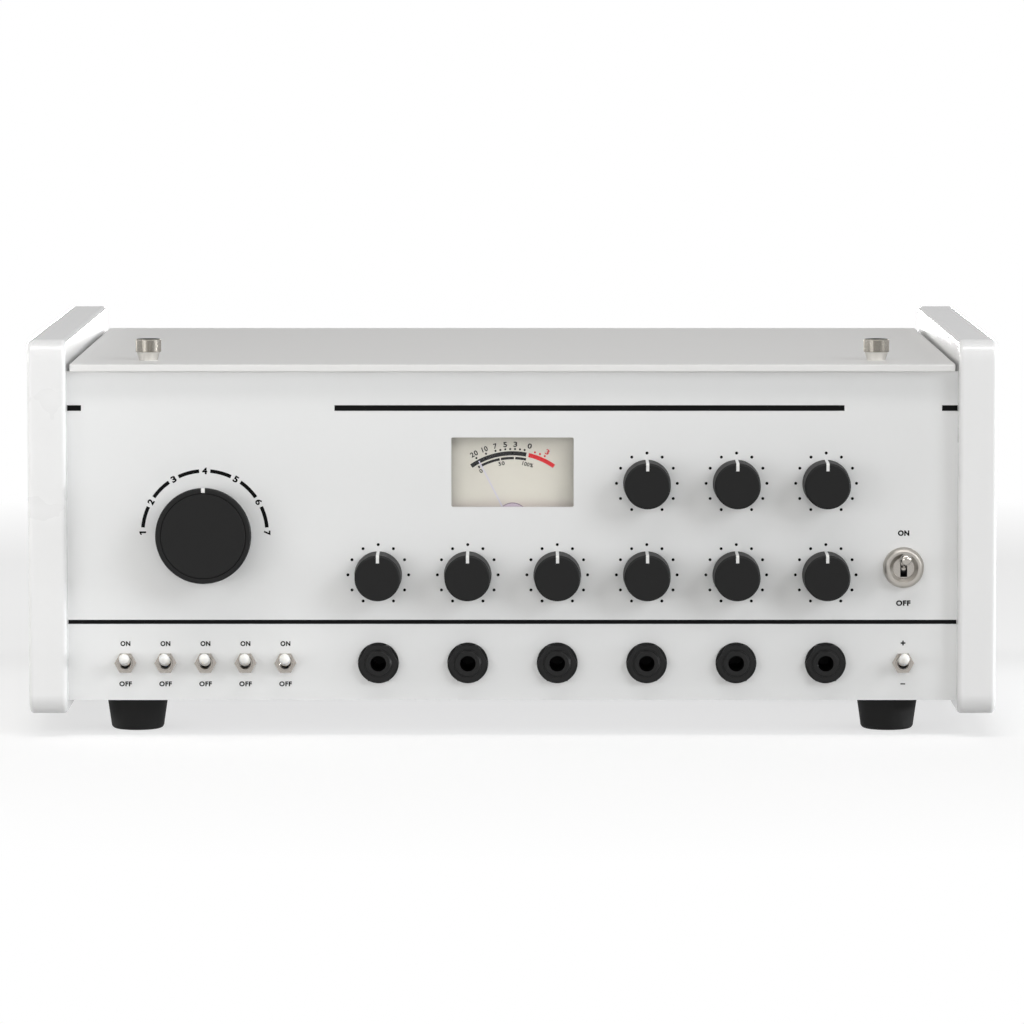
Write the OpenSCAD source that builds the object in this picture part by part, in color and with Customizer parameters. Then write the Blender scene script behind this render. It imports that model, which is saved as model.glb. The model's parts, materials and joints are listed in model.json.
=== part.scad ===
// Tape echo unit: a white metal case between two gloss cheeks, with its controls on the
// front and an open tape transport under the lift-off lid.
// Millimetres. +Z is up and the front faces -Y. The origin lies on the surface that the
// feet stand on, in the middle of the outer box.

/* [Case] */
// Width over the two cheeks
case_w = 404; // [392:1:460]
// Depth of the cheeks
case_d = 276; // [262:1:320]
// Height of the front panel, and of the chassis behind it
panel_h = 138; // [136:0.5:150]
// Thickness of a cheek
cheek_t = 16; // [12:0.5:20]
// How far a cheek reaches below the chassis
cheek_drop = 5.5; // [2:0.5:10]
// How far a cheek stands above the lid
cheek_rise = 10.2; // [4:0.1:16]
// Corner radius of a cheek, seen from the side
cheek_corner_r = 8; // [4:0.5:14]
// Rounding of a cheek's edges
cheek_edge_r = 2; // [0.5:0.1:3]
// How far the front panel lies behind the cheeks' front edges
panel_recess = 8; // [5:0.5:12]
// How far the rear panel lies in front of the cheeks' rear edges
rear_recess = 8; // [5:0.5:12]
// Thickness of the front panel
panel_t = 2; // [1.5:0.1:2.5]
// Thickness of the chassis and rear panel sheet
sheet_t = 1.5; // [1:0.1:2]
// Inside radius of the sheet bends
bend_r = 1; // [0.5:0.1:2]
// Outside radius of the front and rear panels' grooved folds
fold_edge_r = 0.6; // [0.3:0.1:1]
// Width of the chassis' side flanges and end lips
flange_w = 10; // [8:0.5:10.5]

/* [Lid] */
// Thickness of the lid
lid_t = 3.1; // [2:0.1:4]
// How far the lid stands past the front and rear panels
lid_overhang = 4; // [1:0.5:4.5]
// Gap between the lid and a cheek
lid_gap = 1.5; // [0.5:0.1:3]
// Distance from a cheek's inner face to a thumbscrew
thumb_side = 32.7; // [26:0.1:46]
// Distance from the lid's front edge to the thumbscrews
thumb_inset = 30; // [22:0.5:36]
// Diameter of a thumbscrew's head
thumb_d = 10.8; // [9:0.1:13]
// Height of a thumbscrew's head
thumb_h = 8.9; // [7:0.1:11]
// Height of the cone under a thumbscrew's head
thumb_cone_h = 3.3; // [2:0.1:4]
// Diameter of a thumbscrew's thread
thumb_thread_d = 4; // [3:0.1:5]
// Length of a thumbscrew's thread under its head
thumb_thread_l = 11; // [10:0.5:14]
// Diameter of the locating studs under the lid
stud_d = 4; // [3:0.1:5]
// Length of the locating studs
stud_l = 7; // [5:0.5:10]

/* [Feet] */
// Height of a foot
foot_h = 15.2; // [12:0.1:20]
// Diameter of a foot at the chassis
foot_top_d = 26.2; // [22:0.1:30]
// Diameter of a foot at the bottom
foot_bottom_d = 22.4; // [18:0.1:26]
// Rounding of a foot's lower edge
foot_edge_r = 2; // [0.5:0.1:3]
// Distance from a cheek's inner face to a foot's centre
foot_inset_x = 27.3; // [20:0.1:40]
// Distance from the front or rear panel to a foot's centre
foot_inset_y = 30; // [20:0.5:45]

/* [Knobs] */
// Distance between two columns of knobs
knob_pitch = 37.44; // [36:0.01:38.5]
// Distance from the centre line to the first column
knob_first_x = 56.1; // [50:0.1:62]
// Height of the upper knob row above the panel's lower edge
knob_row_top = 91.1; // [88:0.1:95]
// Height of the lower knob row above the panel's lower edge
knob_row_low = 52.7; // [49:0.1:56]
// Diameter of a knob at its foot
knob_d = 19.9; // [17:0.1:22]
// Diameter of a knob at its face
knob_face_d = 19.2; // [16:0.1:22]
// How far a knob's face stands in front of the panel
knob_h = 16; // [13:0.1:18]
// Diameter of the selector knob at its face
mode_d = 39.9; // [36:0.1:44]
// Diameter of the selector knob at its foot
mode_foot_d = 34.4; // [30:0.1:36]
// How far the selector knob's face stands in front of the panel
mode_h = 16; // [13:0.1:19]
// Height of the selector's centre above the panel's lower edge
mode_z = 70.3; // [66:0.1:76]
// Diameter of the control shafts
shaft_d = 6; // [5:0.1:6.5]

/* [Switches] */
// Distance between two small toggle switches
toggle_pitch = 16.75; // [15:0.05:18]
// Distance from the left cheek's inner face to the middle toggle switch, under the selector
toggle_side = 57.45; // [54:0.05:60]
// Height of the toggle switches and the jacks above the panel's lower edge
socket_row = 15.7; // [15:0.1:17]
// Hex nut of a toggle switch, across the flats
toggle_nut_af = 8; // [7.5:0.1:10]
// Diameter of a toggle switch's bushing
toggle_bush_d = 6; // [5.8:0.1:6.6]
// Angle of a toggle lever from straight ahead
toggle_tilt = 12.5; // [8:0.5:12.5]
// Length of a toggle lever from its pivot to the middle of its tip
toggle_l = 13; // [9:0.1:14]
// Diameter of a toggle lever's tip
toggle_tip_d = 4.3; // [3.5:0.1:5]
// Distance from the right cheek's inner face to the power switch and the toggle under it
power_side = 22.4; // [21:0.1:28]
// Height of the power switch above the panel's lower edge
power_z = 55.8; // [50:0.1:62]
// Diameter of the power switch's dress nut
power_nut_d = 17.1; // [16:0.1:19]
// Angle of the power lever from straight ahead
power_tilt = 14; // [8:0.5:16]
// Length of the power lever from its pivot to the middle of its tip
power_l = 20.5; // [16:0.5:24]
// Diameter of the power lever's tip
power_tip_d = 4.9; // [4:0.1:6]

/* [Meter] */
// Width of the meter's window
meter_w = 51.1; // [46:0.1:54]
// Height of the meter's window
meter_h = 29.2; // [26:0.1:32]
// Height of the window's centre above the panel's lower edge
meter_z = 95.7; // [93:0.1:100]
// Distance from the window's lower edge down to the needle's pivot
needle_drop = 8.6; // [7:0.1:10]
// Length of the needle from its pivot
needle_l = 31; // [26:0.1:32]
// Angle of the needle at rest, left of upright
needle_rest = 27; // [20:1:35]
// Depth of the meter's dial behind the panel's face
dial_depth = 8; // [7:0.1:10]

/* [Jacks] */
// Diameter of a jack's bore
jack_bore_d = 6.6; // [6.5:0.05:6.8]
// Depth of a jack's bore from its mouth
jack_bore_l = 28; // [24:0.5:32]
// Diameter of a jack's threaded nose
jack_nose_d = 11.4; // [10:0.1:12]
// Diameter of a jack's washer
jack_washer_d = 17.1; // [16.8:0.1:19]
// Hex nut of a jack, across the flats
jack_nut_af = 14.8; // [13:0.1:15]

/* [Tape transport] */
// Depth of the deck below the lid
deck_drop = 41; // [34:0.5:42]
// Thickness of the deck plate
deck_t = 2; // [1.5:0.1:3]
// Distance from the front panel to the deck's front wall
deck_inset = 42; // [40.5:0.5:48]
// Width of the tape
tape_w = 6.35; // [5:0.05:7]
// Thickness of the tape
tape_t = 0.2; // [0.15:0.05:0.4]
// Height of the tape's middle above the deck
tape_z = 10; // [9:0.1:12]
// Distance from the deck's front wall to the straight run of the tape
tape_run_y = 58; // [52:0.5:62]
// Distance between two playback heads
head_pitch = 26; // [22:0.5:28]
// Width of a tape head
head_w = 12; // [9:0.5:14]
// Number of runs of tape folded in the chamber, an even number
fold_count = 14; // [14:2:18]
// Radius of the turns between two runs of folded tape
turn_r = 7; // [6.6:0.1:8]
// Radius of the capstan
capstan_r = 3.5; // [3:0.1:4.5]
// Radius of the flywheel
flywheel_r = 32; // [26:0.5:34]
// Radius of the motor pulley
pulley_r = 8; // [6:0.1:9]
// Distance from the capstan to the motor's shaft
belt_span = 66; // [64:0.5:72]
// Radius of the pinch roller
roller_r = 9; // [7:0.1:10]
// Length of the pinch arm from its pivot to the roller
arm_l = 34; // [30:0.5:38]

/* [Hidden] */
$fn = 64;

// Fits and small allowances
run_gap = 0.05;     // radial clearance of a shaft in its bearing
slip_gap = 0.1;     // radial clearance of a piece in its hole
free_gap = 0.3;     // clearance of a piece that moves past another
cut = 1;            // overrun of a cutting tool past a face

// Case: heights
base_z = foot_h;
top_z = base_z + panel_h;
lid_top_z = top_z + lid_t;
cheek_z = base_z - cheek_drop;
cheek_h = lid_top_z + cheek_rise - cheek_z;
in_w = case_w - 2 * cheek_t;
thumb_x = in_w / 2 - thumb_side;
power_x = in_w / 2 - power_side;
mode_x = toggle_side - in_w / 2;

// Small toggle switch, measured from the panel's face, outwards
toggle_pivot = -1.7;
toggle_nut_h = 2;
toggle_bush_h = 2.7;
toggle_bore_r = 2.1;
toggle_bore_edge = 0.4;
toggle_root_r = 0.9;
toggle_ball_r = 1.7;
toggle_body = [8, 13, 9.5];
toggle_count = 5;

// Power switch, measured from the panel's face, outwards
power_pivot = -2;
power_bush_r = 6;
power_bush_h = 2.3;
power_bore_r = 4.4;
power_slot = [2.9, 7.6];
power_stem_r = 1.2;
power_ball_r = 3.4;
power_lip_h = 4.2;
power_lip_in = 2.5;
power_dome_in = 2.1;
power_nut_edge = 0.9;
power_body = [15, 28, 26];

// Case: depths. The controls that reach furthest set where the middle of the outer box is.
power_reach = power_pivot + power_l * cos(power_tilt) + power_tip_d / 2;
toggle_reach = toggle_pivot + toggle_l * cos(toggle_tilt) + toggle_tip_d / 2;
front_reach = max(power_reach, toggle_reach, knob_h, mode_h, panel_recess) - panel_recess;
cheek_y = (front_reach - case_d) / 2;
panel_y = cheek_y + panel_recess;
rear_y = cheek_y + case_d - rear_recess;
back_y = rear_y - sheet_t;
inner_y = panel_y + panel_t;
flange_d = deck_inset;
rear_flange_d = 20;

// Screws
screw_r = 2;
screw_head_r = 3.6;
screw_head_h = 2.4;
screw_bite = 10;
cheek_screw_inset = 24;
foot_recess = 3;
foot_recess_gap = 1;
foot_nut = [4, 3.2];

// Lid
lid_front_y = panel_y - lid_overhang;
lid_rear_y = rear_y + lid_overhang;
lid_w = in_w - 2 * lid_gap;
lid_edge_r = 0.5;
thumb_y = lid_front_y + thumb_inset;
thumb_neck_d = 7.6;
thumb_edge = 0.4;
insert_h = 5;
insert_r = 4.5;
stud_inset = 11;
stud_tip = 1;
stud_y = rear_y - stud_inset;

// Knobs
knob_lift = 0.8;
knob_edge = 0.7;
knob_hollow_r = 7.4;
knob_hollow_h = 3.6;
pointer_w = 1.3;
pointer_l = 3.3;
pointer_cut = 0.4;
mode_pointer = [1.9, 2.1];
mode_groove_in = 1.95;
mode_groove_w = 0.45;
mode_wall = 2;
mode_rim_h = 3;
mode_edge = 0.5;
knob_x0 = -knob_first_x;
low_count = 6;
top_first = 3;
top_count = 3;

// Potentiometers and rotary switch, behind the panel
bush_wall = 1;
bush_h = 2.4;
bush_nut_h = 2;
bush_nut_wall = 1.8;
pot_r = 8;
pot_h = 9;
rotary_r = 16;
rotary_h = 20;
shaft_tail = 6;

// Meter
meter_x = knob_x0 + 1.5 * knob_pitch;
window_t = 1.5;
meter_rim = 2.6;
meter_wall = 1.5;
meter_foot = 4.2;
meter_case_d = 28;
meter_corner = 0.6;
case_corner = 2;
dial_corner = 1;
dial_t = 0.6;
needle_z = meter_z - meter_h / 2 - needle_drop;
needle_w = 0.45;
needle_t = 0.3;
needle_off = 2;
hub_r = 2.4;
hub_h = 1.6;
pin_r = 1;
boss_r = 6.8;
boss_up = 3.2;
boss_h = 1;
meter_low = needle_z - meter_foot;
meter_high = meter_z + meter_h / 2 + meter_rim;
meter_room_h = meter_high - meter_low;
meter_mid = (meter_high + meter_low) / 2;
meter_room_w = meter_w + 2 * meter_rim;

// Jacks, measured from the panel's face, outwards
jack_washer_h = 0.8;
jack_nut_h = 2.4;
jack_nose_h = 4;
jack_nose_edge = 0.8;
jack_body = [20, 19, 25];

// Boards
board_t = 1.6;
board_margin = 11;
toggle_board_margin = 2;
main_board_d = 74;
main_board_w = 190;
main_board_side = 29.5;
main_board_x = (main_board_w - in_w) / 2 + sheet_t + main_board_side;
board_lift = 7;
board_post_r = 3;
board_post_in = 6;
board_screw_r = 1.5;
board_screw_head = [2.8, 1.6];
part_count = 6;
part_pitch = 27;
capacitor_r = 5;
capacitor_h = 15;
chip = [8, 18, 4.5];
chip_y = 16;
main_board_gap = 6;
main_board_y = inner_y + deck_inset + main_board_gap;
floor_z = base_z + sheet_t;

// Heavy pieces on the chassis floor
tank = [235, 108, 33];
tank_side = 37;
tank_gap = 2;
tank_wall = 1.2;
tank_x = (tank.x - in_w) / 2 + sheet_t + tank_side;
tank_y = back_y - tank_gap - tank.y / 2;
transducer = [14, 60, 16];
transducer_inset = 20;
magnet_r = 3;
magnet_l = 8;
tank_spring_r = 2.2;
tank_spring_x = 30;
tank_spring_y = 18;
tank_spring_z = 12;
core = [54, 36, 46];
core_side = 48;
core_inset = 82;
core_x = in_w / 2 - core_side;
core_y = back_y - core_inset;
winding = [30, 56, 30];
core_foot = [66, 36, 1.5];
core_hole_in = 4;

// Rear fittings
inlet_x = core_x;
inlet_z = 32;
inlet_room = [24, 16.8];
inlet_room_d = 15;
inlet_wall = 1.6;
inlet_back = 4;
inlet_room_corner = 1.5;
inlet_plate = [50, 22, 2.4];
inlet_corner = 5;
inlet_pin = [2, 4];
inlet_pin_l = 11;
inlet_pin_x = 7;
inlet_pin_y = 2;
inlet_screw_x = 20;
inlet_screw_r = 1.6;
fuse_pitch = 36;
fuse_x = inlet_x - fuse_pitch;
fuse_r = 6;
fuse_flange_r = 8;
fuse_flange_h = 2;
fuse_cap_r = 6.2;
fuse_cap_h = 4.5;
fuse_l = 34;
fuse_thread_l = 12;
fuse_slot = [8, 1.4, 1.2];
vent_slot = [3, 22];
vent_count = 12;
vent_pitch = 8;
floor_vent_pitch = 5;
vent_side = 94;
vent_x = vent_side - in_w / 2;
vent_z = 84;

// Deck
deck_z = top_z - deck_drop;
deck_y = panel_y + deck_inset;
deck_w = in_w - 2 * sheet_t;
deck_side_h = 14;
deck_back_y = back_y - sheet_t;
run_y = deck_y + tape_run_y;

// Tape chamber and the folded loop
chamber_wall = 2;
chamber_margin = 4;
chamber_floor = 1.5;
chamber_corner = 6;
chamber_gap = 30;
chamber_front = run_y + chamber_gap;
chamber_back_gap = 26;
chamber_rear = deck_back_y - chamber_back_gap;
chamber_d = chamber_rear - chamber_front;
chamber_y = (chamber_rear + chamber_front) / 2;
chamber_top_gap = 2.5;
chamber_h = tape_z + tape_w / 2 + chamber_top_gap;
fold_x = (fold_count - 1) * turn_r;
chamber_w = 2 * (fold_x + turn_r + chamber_margin + chamber_wall);
cover_t = 2;
cover_post_r = 4;
cover_post_gap = 2;
cover_post_inset = 12;
cover_screw = [chamber_w / 2 - chamber_wall - cover_post_gap - cover_post_r,
         chamber_d / 2 - cover_post_inset];
cover_screw_bite = 3;
fold_wave = 7;
fold_low = chamber_front + chamber_wall + chamber_margin + turn_r;
fold_high = chamber_rear - chamber_wall - chamber_margin - turn_r - fold_wave;
fold_step_high = 55;
fold_step_low = 80;
gate_w = 12;

// Guides, capstan, heads and roller along the straight run
guide_r = 4;
guide_turn = guide_r + free_gap + tape_t / 2;
guide_x = fold_x - guide_turn;
guide_flange_r = 5.6;
guide_flange_h = 1.2;
capstan_before = 24.6;
capstan_x = guide_x - capstan_before;
capstan_y = run_y + tape_t / 2 + free_gap + capstan_r;
capstan_over = 5;
capstan_top = tape_z + tape_w / 2 + capstan_over;
bearing_r = 8;
bearing_up = 1.2;
bearing_down = 6;
flywheel_h = 10;
flywheel_gap = 1;
flywheel_z = deck_z - deck_t - bearing_down - flywheel_gap - flywheel_h;
flywheel_rim = 6;
flywheel_web = 4;
flywheel_hub_r = 9;
flywheel_hole_r = 4;
head_h = 13;
head_d = 12;
head_nose_r = 7;
head_base = [16, 18, 3];
head_count = 3;
head_after = 22;
record_after = 28;
erase_after = 26;
playback_x = capstan_x - head_after;
record_x = playback_x - (head_count - 1) * head_pitch - record_after;
erase_x = record_x - erase_after;
roller_over = 2;
roller_h = tape_w + 2 * roller_over;
roller_y = run_y - tape_t / 2 - free_gap - roller_r;
roller_pin_r = 2.5;
roller_clip_r = 4;
arm_t = 2.5;
arm_r = 6;
arm_angle = 14;
arm_x = capstan_x + arm_l * cos(arm_angle);
arm_y = roller_y - arm_l * sin(arm_angle);
arm_z = tape_z - roller_h / 2 - arm_t - free_gap;
arm_hub_h = 8;
post_r = 3;
post_foot_r = 5;

// Motor and belt
motor_x = capstan_x - belt_span;
motor_r = 22;
motor_h = 34;
motor_plate_r = 30;
motor_plate_t = 2;
motor_post_r = 3;
motor_post_at = 26;
motor_shaft_r = 1.6;
motor_shaft_l = 12;
motor_gap = 4;
motor_top = flywheel_z - motor_gap;
pulley_h = 8;
belt_t = 1.2;
belt_w = 4;
belt_steps = 48;

// ---------------------------------------------------------------- helpers

// A rectangle with round corners, centred
module rounded_rect(w, h, r) {
  square([w - 2 * r, h], center = true);
  square([w, h - 2 * r], center = true);
  for (sx = [-1, 1], sy = [-1, 1])
    translate([sx * (w / 2 - r), sy * (h / 2 - r)])
      circle(r);
}

// A box on the floor of its frame, centred in X and Y
module block(size) {
  translate([-size.x / 2, -size.y / 2, 0])
    cube(size);
}

// Places its children on the front panel: X right, Y up, Z towards the viewer
module on_panel(x, z) {
  translate([x, panel_y, base_z + z])
    rotate([90, 0, 0])
      children();
}

// Places its children on the rear panel, Z away from the case
module on_rear(x, z) {
  translate([x, rear_y, base_z + z])
    rotate([90, 0, 180])
      children();
}

// Places its children on the deck's upper face
module on_deck(x, y) {
  translate([x, y, deck_z])
    children();
}

function knob_x(i) = knob_x0 + i * knob_pitch;
function toggle_x(i) = mode_x + (i - (toggle_count - 1) / 2) * toggle_pitch;

module at_low_knobs() {
  for (i = [0 : low_count - 1])
    on_panel(knob_x(i), knob_row_low)
      children();
}

module at_top_knobs() {
  for (i = [top_first : top_first + top_count - 1])
    on_panel(knob_x(i), knob_row_top)
      children();
}

module at_toggles() {
  for (i = [0 : toggle_count - 1])
    on_panel(toggle_x(i), socket_row)
      children();
  on_panel(power_x, socket_row)
    children();
}

module at_jacks() {
  for (i = [0 : low_count - 1])
    on_panel(knob_x(i), socket_row)
      children();
}

module at_feet() {
  for (sx = [-1, 1], y = [panel_y + foot_inset_y, rear_y - foot_inset_y])
    translate([sx * (in_w / 2 - foot_inset_x), y, 0])
      children();
}

// The four corners of a cheek's fixing, pointing outwards from the chassis wall
module at_cheek_screws(side) {
  for (y = [inner_y + cheek_screw_inset, back_y - cheek_screw_inset],
    z = [base_z + cheek_screw_inset, deck_z - 3 * screw_head_r - deck_side_h])
    translate([side * (in_w / 2 - sheet_t), y, z])
      rotate([0, side * 90, 0])
        children();
}

// The deck's fixings, pointing outwards from the inside of its side flanges
module at_deck_screws(side) {
  for (y = [deck_y + cheek_screw_inset, back_y - cheek_screw_inset])
    translate([side * (deck_w / 2 - deck_t), y, deck_z - deck_side_h / 2])
      rotate([0, side * 90, 0])
        children();
}

module at_rear_screws() {
  for (sx = [-1, 1], z = [cheek_screw_inset, panel_h - cheek_screw_inset])
    on_rear(sx * (in_w / 2 - sheet_t - flange_w / 2), z)
      children();
}

module at_cover_posts() {
  for (sx = [-1, 1], sy = [-1, 1])
    on_deck(sx * cover_screw.x, chamber_y + sy * cover_screw.y)
      children();
}

// A screw with its head above its frame's floor and its thread below it
module screw(length) {
  translate([0, 0, -length])
    cylinder(h = length, r = screw_r);
  cylinder(h = screw_head_h, r = screw_head_r);
}

// ---------------------------------------------------------------- case

module cheek(side) {
  r = cheek_corner_r;
  e = cheek_edge_r;
  color("white")
    difference() {
      translate([side * (case_w - cheek_t) / 2, cheek_y + case_d / 2, cheek_z + cheek_h / 2]) {
        translate([0, 0, -cheek_h / 2 + r])
          linear_extrude(cheek_h - 2 * r)
            rounded_rect(cheek_t, case_d, e);
        translate([0, case_d / 2 - r, 0])
          rotate([90, 0, 0])
            linear_extrude(case_d - 2 * r)
              rounded_rect(cheek_t, cheek_h, e);
        for (sy = [-1, 1], sz = [-1, 1])
          translate([0, sy * (case_d / 2 - r), sz * (cheek_h / 2 - r)])
            rotate([0, 90, 0])
              rotate_extrude()
                intersection() {
                  rounded_rect(2 * r, cheek_t, e);
                  translate([0, -cheek_t / 2])
                    square([r, cheek_t]);
                }
      }
      at_cheek_screws(side)
        cylinder(h = sheet_t + screw_bite + cut, r = screw_r + slip_gap);
    }
}

module left_cheek() cheek(-1);
module right_cheek() cheek(1);

// The tray: floor, side walls and top flanges folded from one sheet, with end lips
module chassis() {
  length = back_y - inner_y;
  outer_r = bend_r + sheet_t;
  lip_w = flange_w - sheet_t / 2;
  color("lightgray")
    difference() {
      union() {
        translate([0, back_y, base_z + panel_h / 2])
          rotate([90, 0, 0])
            linear_extrude(length)
              difference() {
                rounded_rect(in_w, panel_h, outer_r);
                rounded_rect(in_w - 2 * sheet_t, panel_h - 2 * sheet_t, bend_r);
                translate([0, panel_h / 2])
                  square([in_w - 2 * flange_w, 2 * outer_r], center = true);
              }
        for (sx = [-1, 1], y = [inner_y, back_y - sheet_t])
          translate([sx * (in_w - sheet_t - lip_w) / 2, y + sheet_t / 2, base_z + outer_r])
            block([lip_w, sheet_t, panel_h - 2 * outer_r]);
      }
      at_feet()
        translate([0, 0, base_z - cut])
          cylinder(h = sheet_t + 2 * cut, r = screw_r + slip_gap);
      for (side = [-1, 1])
        at_cheek_screws(side)
          translate([0, 0, -cut])
            cylinder(h = sheet_t + 2 * cut, r = screw_r + slip_gap);
      for (side = [-1, 1])
        at_deck_screws(side)
          cylinder(h = deck_t + sheet_t + cut, r = screw_r + slip_gap);
      at_rear_screws()
        translate([0, 0, -2 * sheet_t - cut])
          cylinder(h = 2 * sheet_t + cut, r = screw_r + slip_gap);
      for (i = [0 : vent_count - 1])
        translate([core_x + (i - (vent_count - 1) / 2) * floor_vent_pitch,
             core_y - core.y / 2 - vent_slot.y, base_z - cut])
          vent(sheet_t + 2 * cut);
    }
}

// A cutter for a round-ended vent slot
module vent(depth) {
  linear_extrude(depth) {
    square([vent_slot.x, vent_slot.y - vent_slot.x], center = true);
    for (sy = [-1, 1])
      translate([0, sy * (vent_slot.y - vent_slot.x) / 2])
        circle(vent_slot.x / 2);
  }
}

// A sheet folded backwards at its top edge, with its outer face at Y = 0 and its top at Z = 0.
// A groove along the inside lets the fold come out crisp.
module folded_sheet(w, fold_w, h, d, t) {
  inside = t + bend_r;
  translate([-fold_w / 2, 0, 0])
    rotate([90, 0, 90])
      linear_extrude(fold_w) {
        translate([0, -h])
          square([t, h - fold_edge_r]);
        translate([fold_edge_r, -t])
          square([d - fold_edge_r, t]);
        translate([fold_edge_r, -fold_edge_r])
          circle(fold_edge_r);
        difference() {
          translate([t, -inside])
            square(bend_r);
          translate([inside, -inside])
            circle(bend_r);
        }
      }
  for (sx = [-1, 1])
    translate([sx * (w + fold_w) / 4 - (w - fold_w) / 4, 0, -h])
      cube([(w - fold_w) / 2, t, h]);
}

module front_panel() {
  color("whitesmoke")
    difference() {
      translate([0, panel_y, top_z])
        folded_sheet(in_w, in_w - 2 * flange_w - 2 * slip_gap, panel_h, flange_d, panel_t);
      at_low_knobs()
        panel_hole(shaft_d / 2 + bush_wall);
      at_top_knobs()
        panel_hole(shaft_d / 2 + bush_wall);
      on_panel(mode_x, mode_z)
        panel_hole(shaft_d / 2 + 2 * bush_wall);
      at_toggles()
        panel_hole(toggle_bush_d / 2);
      on_panel(power_x, power_z)
        panel_hole(power_bush_r);
      at_jacks()
        panel_hole(jack_nose_d / 2);
      on_panel(meter_x, meter_z)
        translate([0, 0, -panel_t - cut])
          linear_extrude(panel_t + 2 * cut)
            rounded_rect(meter_w, meter_h, meter_corner);
      for (sx = [-1, 1])
        translate([sx * thumb_x, thumb_y, top_z - panel_t - cut])
          cylinder(h = panel_t + 2 * cut, r = thumb_thread_d / 2 + free_gap);
    }
}

module panel_hole(r) {
  translate([0, 0, -panel_t - cut])
    cylinder(h = panel_t + 2 * cut, r = r + slip_gap);
}

module rear_panel() {
  color("whitesmoke")
    difference() {
      translate([0, rear_y, top_z])
        mirror([0, 1, 0])
          folded_sheet(in_w, in_w - 2 * flange_w - 2 * slip_gap, panel_h, rear_flange_d, sheet_t);
      on_rear(inlet_x, inlet_z)
        translate([0, 0, -sheet_t - cut])
          linear_extrude(sheet_t + 2 * cut)
            rounded_rect(inlet_room.x + 2 * inlet_wall + 2 * slip_gap,
                  inlet_room.y + 2 * inlet_wall + 2 * slip_gap, case_corner);
      for (sx = [-1, 1])
        on_rear(inlet_x + sx * inlet_screw_x, inlet_z)
          translate([0, 0, -sheet_t - cut])
            cylinder(h = sheet_t + 2 * cut, r = inlet_screw_r);
      on_rear(fuse_x, inlet_z)
        translate([0, 0, -sheet_t - cut])
          cylinder(h = sheet_t + 2 * cut, r = fuse_r + slip_gap);
      at_rear_screws()
        translate([0, 0, -sheet_t - cut])
          cylinder(h = sheet_t + 2 * cut, r = screw_r + slip_gap);
      for (sx = [-1, 1])
        translate([sx * thumb_x, stud_y, top_z - sheet_t - cut])
          cylinder(h = sheet_t + 2 * cut, r = stud_d / 2 + free_gap);
      for (i = [0 : vent_count - 1])
        on_rear(vent_x + (i - (vent_count - 1) / 2) * vent_pitch, vent_z)
          translate([0, 0, -sheet_t - cut])
            vent(sheet_t + 2 * cut);
    }
}

// The lid: a plate with rounded front and rear edges, and two studs that find the rear flange
module lid() {
  depth = lid_rear_y - lid_front_y;
  color("gainsboro") {
    difference() {
      translate([-lid_w / 2, lid_front_y + depth / 2, top_z + lid_t / 2])
        rotate([90, 0, 90])
          linear_extrude(lid_w)
            rounded_rect(depth, lid_t, lid_edge_r);
      for (sx = [-1, 1])
        translate([sx * thumb_x, thumb_y, top_z - cut])
          cylinder(h = lid_t + 2 * cut, r = thumb_thread_d / 2 + free_gap);
    }
    for (sx = [-1, 1])
      translate([sx * thumb_x, stud_y, top_z])
        rotate([180, 0, 0])
          rotate_extrude()
            polygon([[0, 0], [stud_d / 2, 0], [stud_d / 2, stud_l - stud_tip],
                [stud_d / 2 - stud_tip, stud_l], [0, stud_l]]);
  }
}

// Knurled head with a cone under it, on a threaded shank
module thumbscrew(side) {
  r = thumb_d / 2;
  color("silver")
    translate([side * thumb_x, thumb_y, lid_top_z])
      rotate_extrude()
        polygon([
          [0, -thumb_thread_l], [thumb_thread_d / 2, -thumb_thread_l],
          [thumb_thread_d / 2, 0], [thumb_neck_d / 2, 0], [r - thumb_edge, thumb_cone_h],
          [r, thumb_cone_h + thumb_edge], [r, thumb_h - thumb_edge],
          [r - thumb_edge, thumb_h], [0, thumb_h]
        ]);
}

module thumbscrew_left() thumbscrew(-1);
module thumbscrew_right() thumbscrew(1);

// Threaded inserts pressed under the front flange, for the thumbscrews
module lid_inserts() {
  color("silver")
    for (sx = [-1, 1])
      translate([sx * thumb_x, thumb_y, top_z - panel_t - insert_h])
        difference() {
          cylinder(h = insert_h, r = insert_r);
          translate([0, 0, -cut])
            cylinder(h = insert_h + 2 * cut, r = thumb_thread_d / 2 + slip_gap);
        }
}

// Rubber feet with a recess for the screw head
module feet() {
  bottom = foot_bottom_d / 2;
  e = foot_edge_r;
  recess_r = screw_head_r + foot_recess_gap;
  recess_h = screw_head_h + foot_recess;
  color("#1c1c1c")
    at_feet()
      rotate_extrude()
        difference() {
          union() {
            polygon([[0, e], [bottom, e], [foot_top_d / 2, foot_h], [0, foot_h]]);
            square([bottom - e, e]);
            translate([bottom - e, e])
              circle(e);
          }
          translate([-foot_top_d, -foot_h])
            square([foot_top_d, 3 * foot_h]);
          translate([0, -cut])
            square([recess_r, recess_h + cut]);
          translate([0, -cut])
            square([screw_r + slip_gap, foot_h + 2 * cut]);
        }
}

module foot_screws() {
  recess_h = screw_head_h + foot_recess;
  color("silver")
    at_feet()
      translate([0, 0, recess_h]) {
        rotate([180, 0, 0])
          screw(base_z + sheet_t + foot_nut.y + cut - recess_h);
        translate([0, 0, base_z + sheet_t - recess_h])
          difference() {
            cylinder(h = foot_nut.y, r = foot_nut.x, $fn = 6);
            translate([0, 0, -cut])
              cylinder(h = foot_nut.y + 2 * cut, r = screw_r + run_gap);
          }
      }
}

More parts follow.
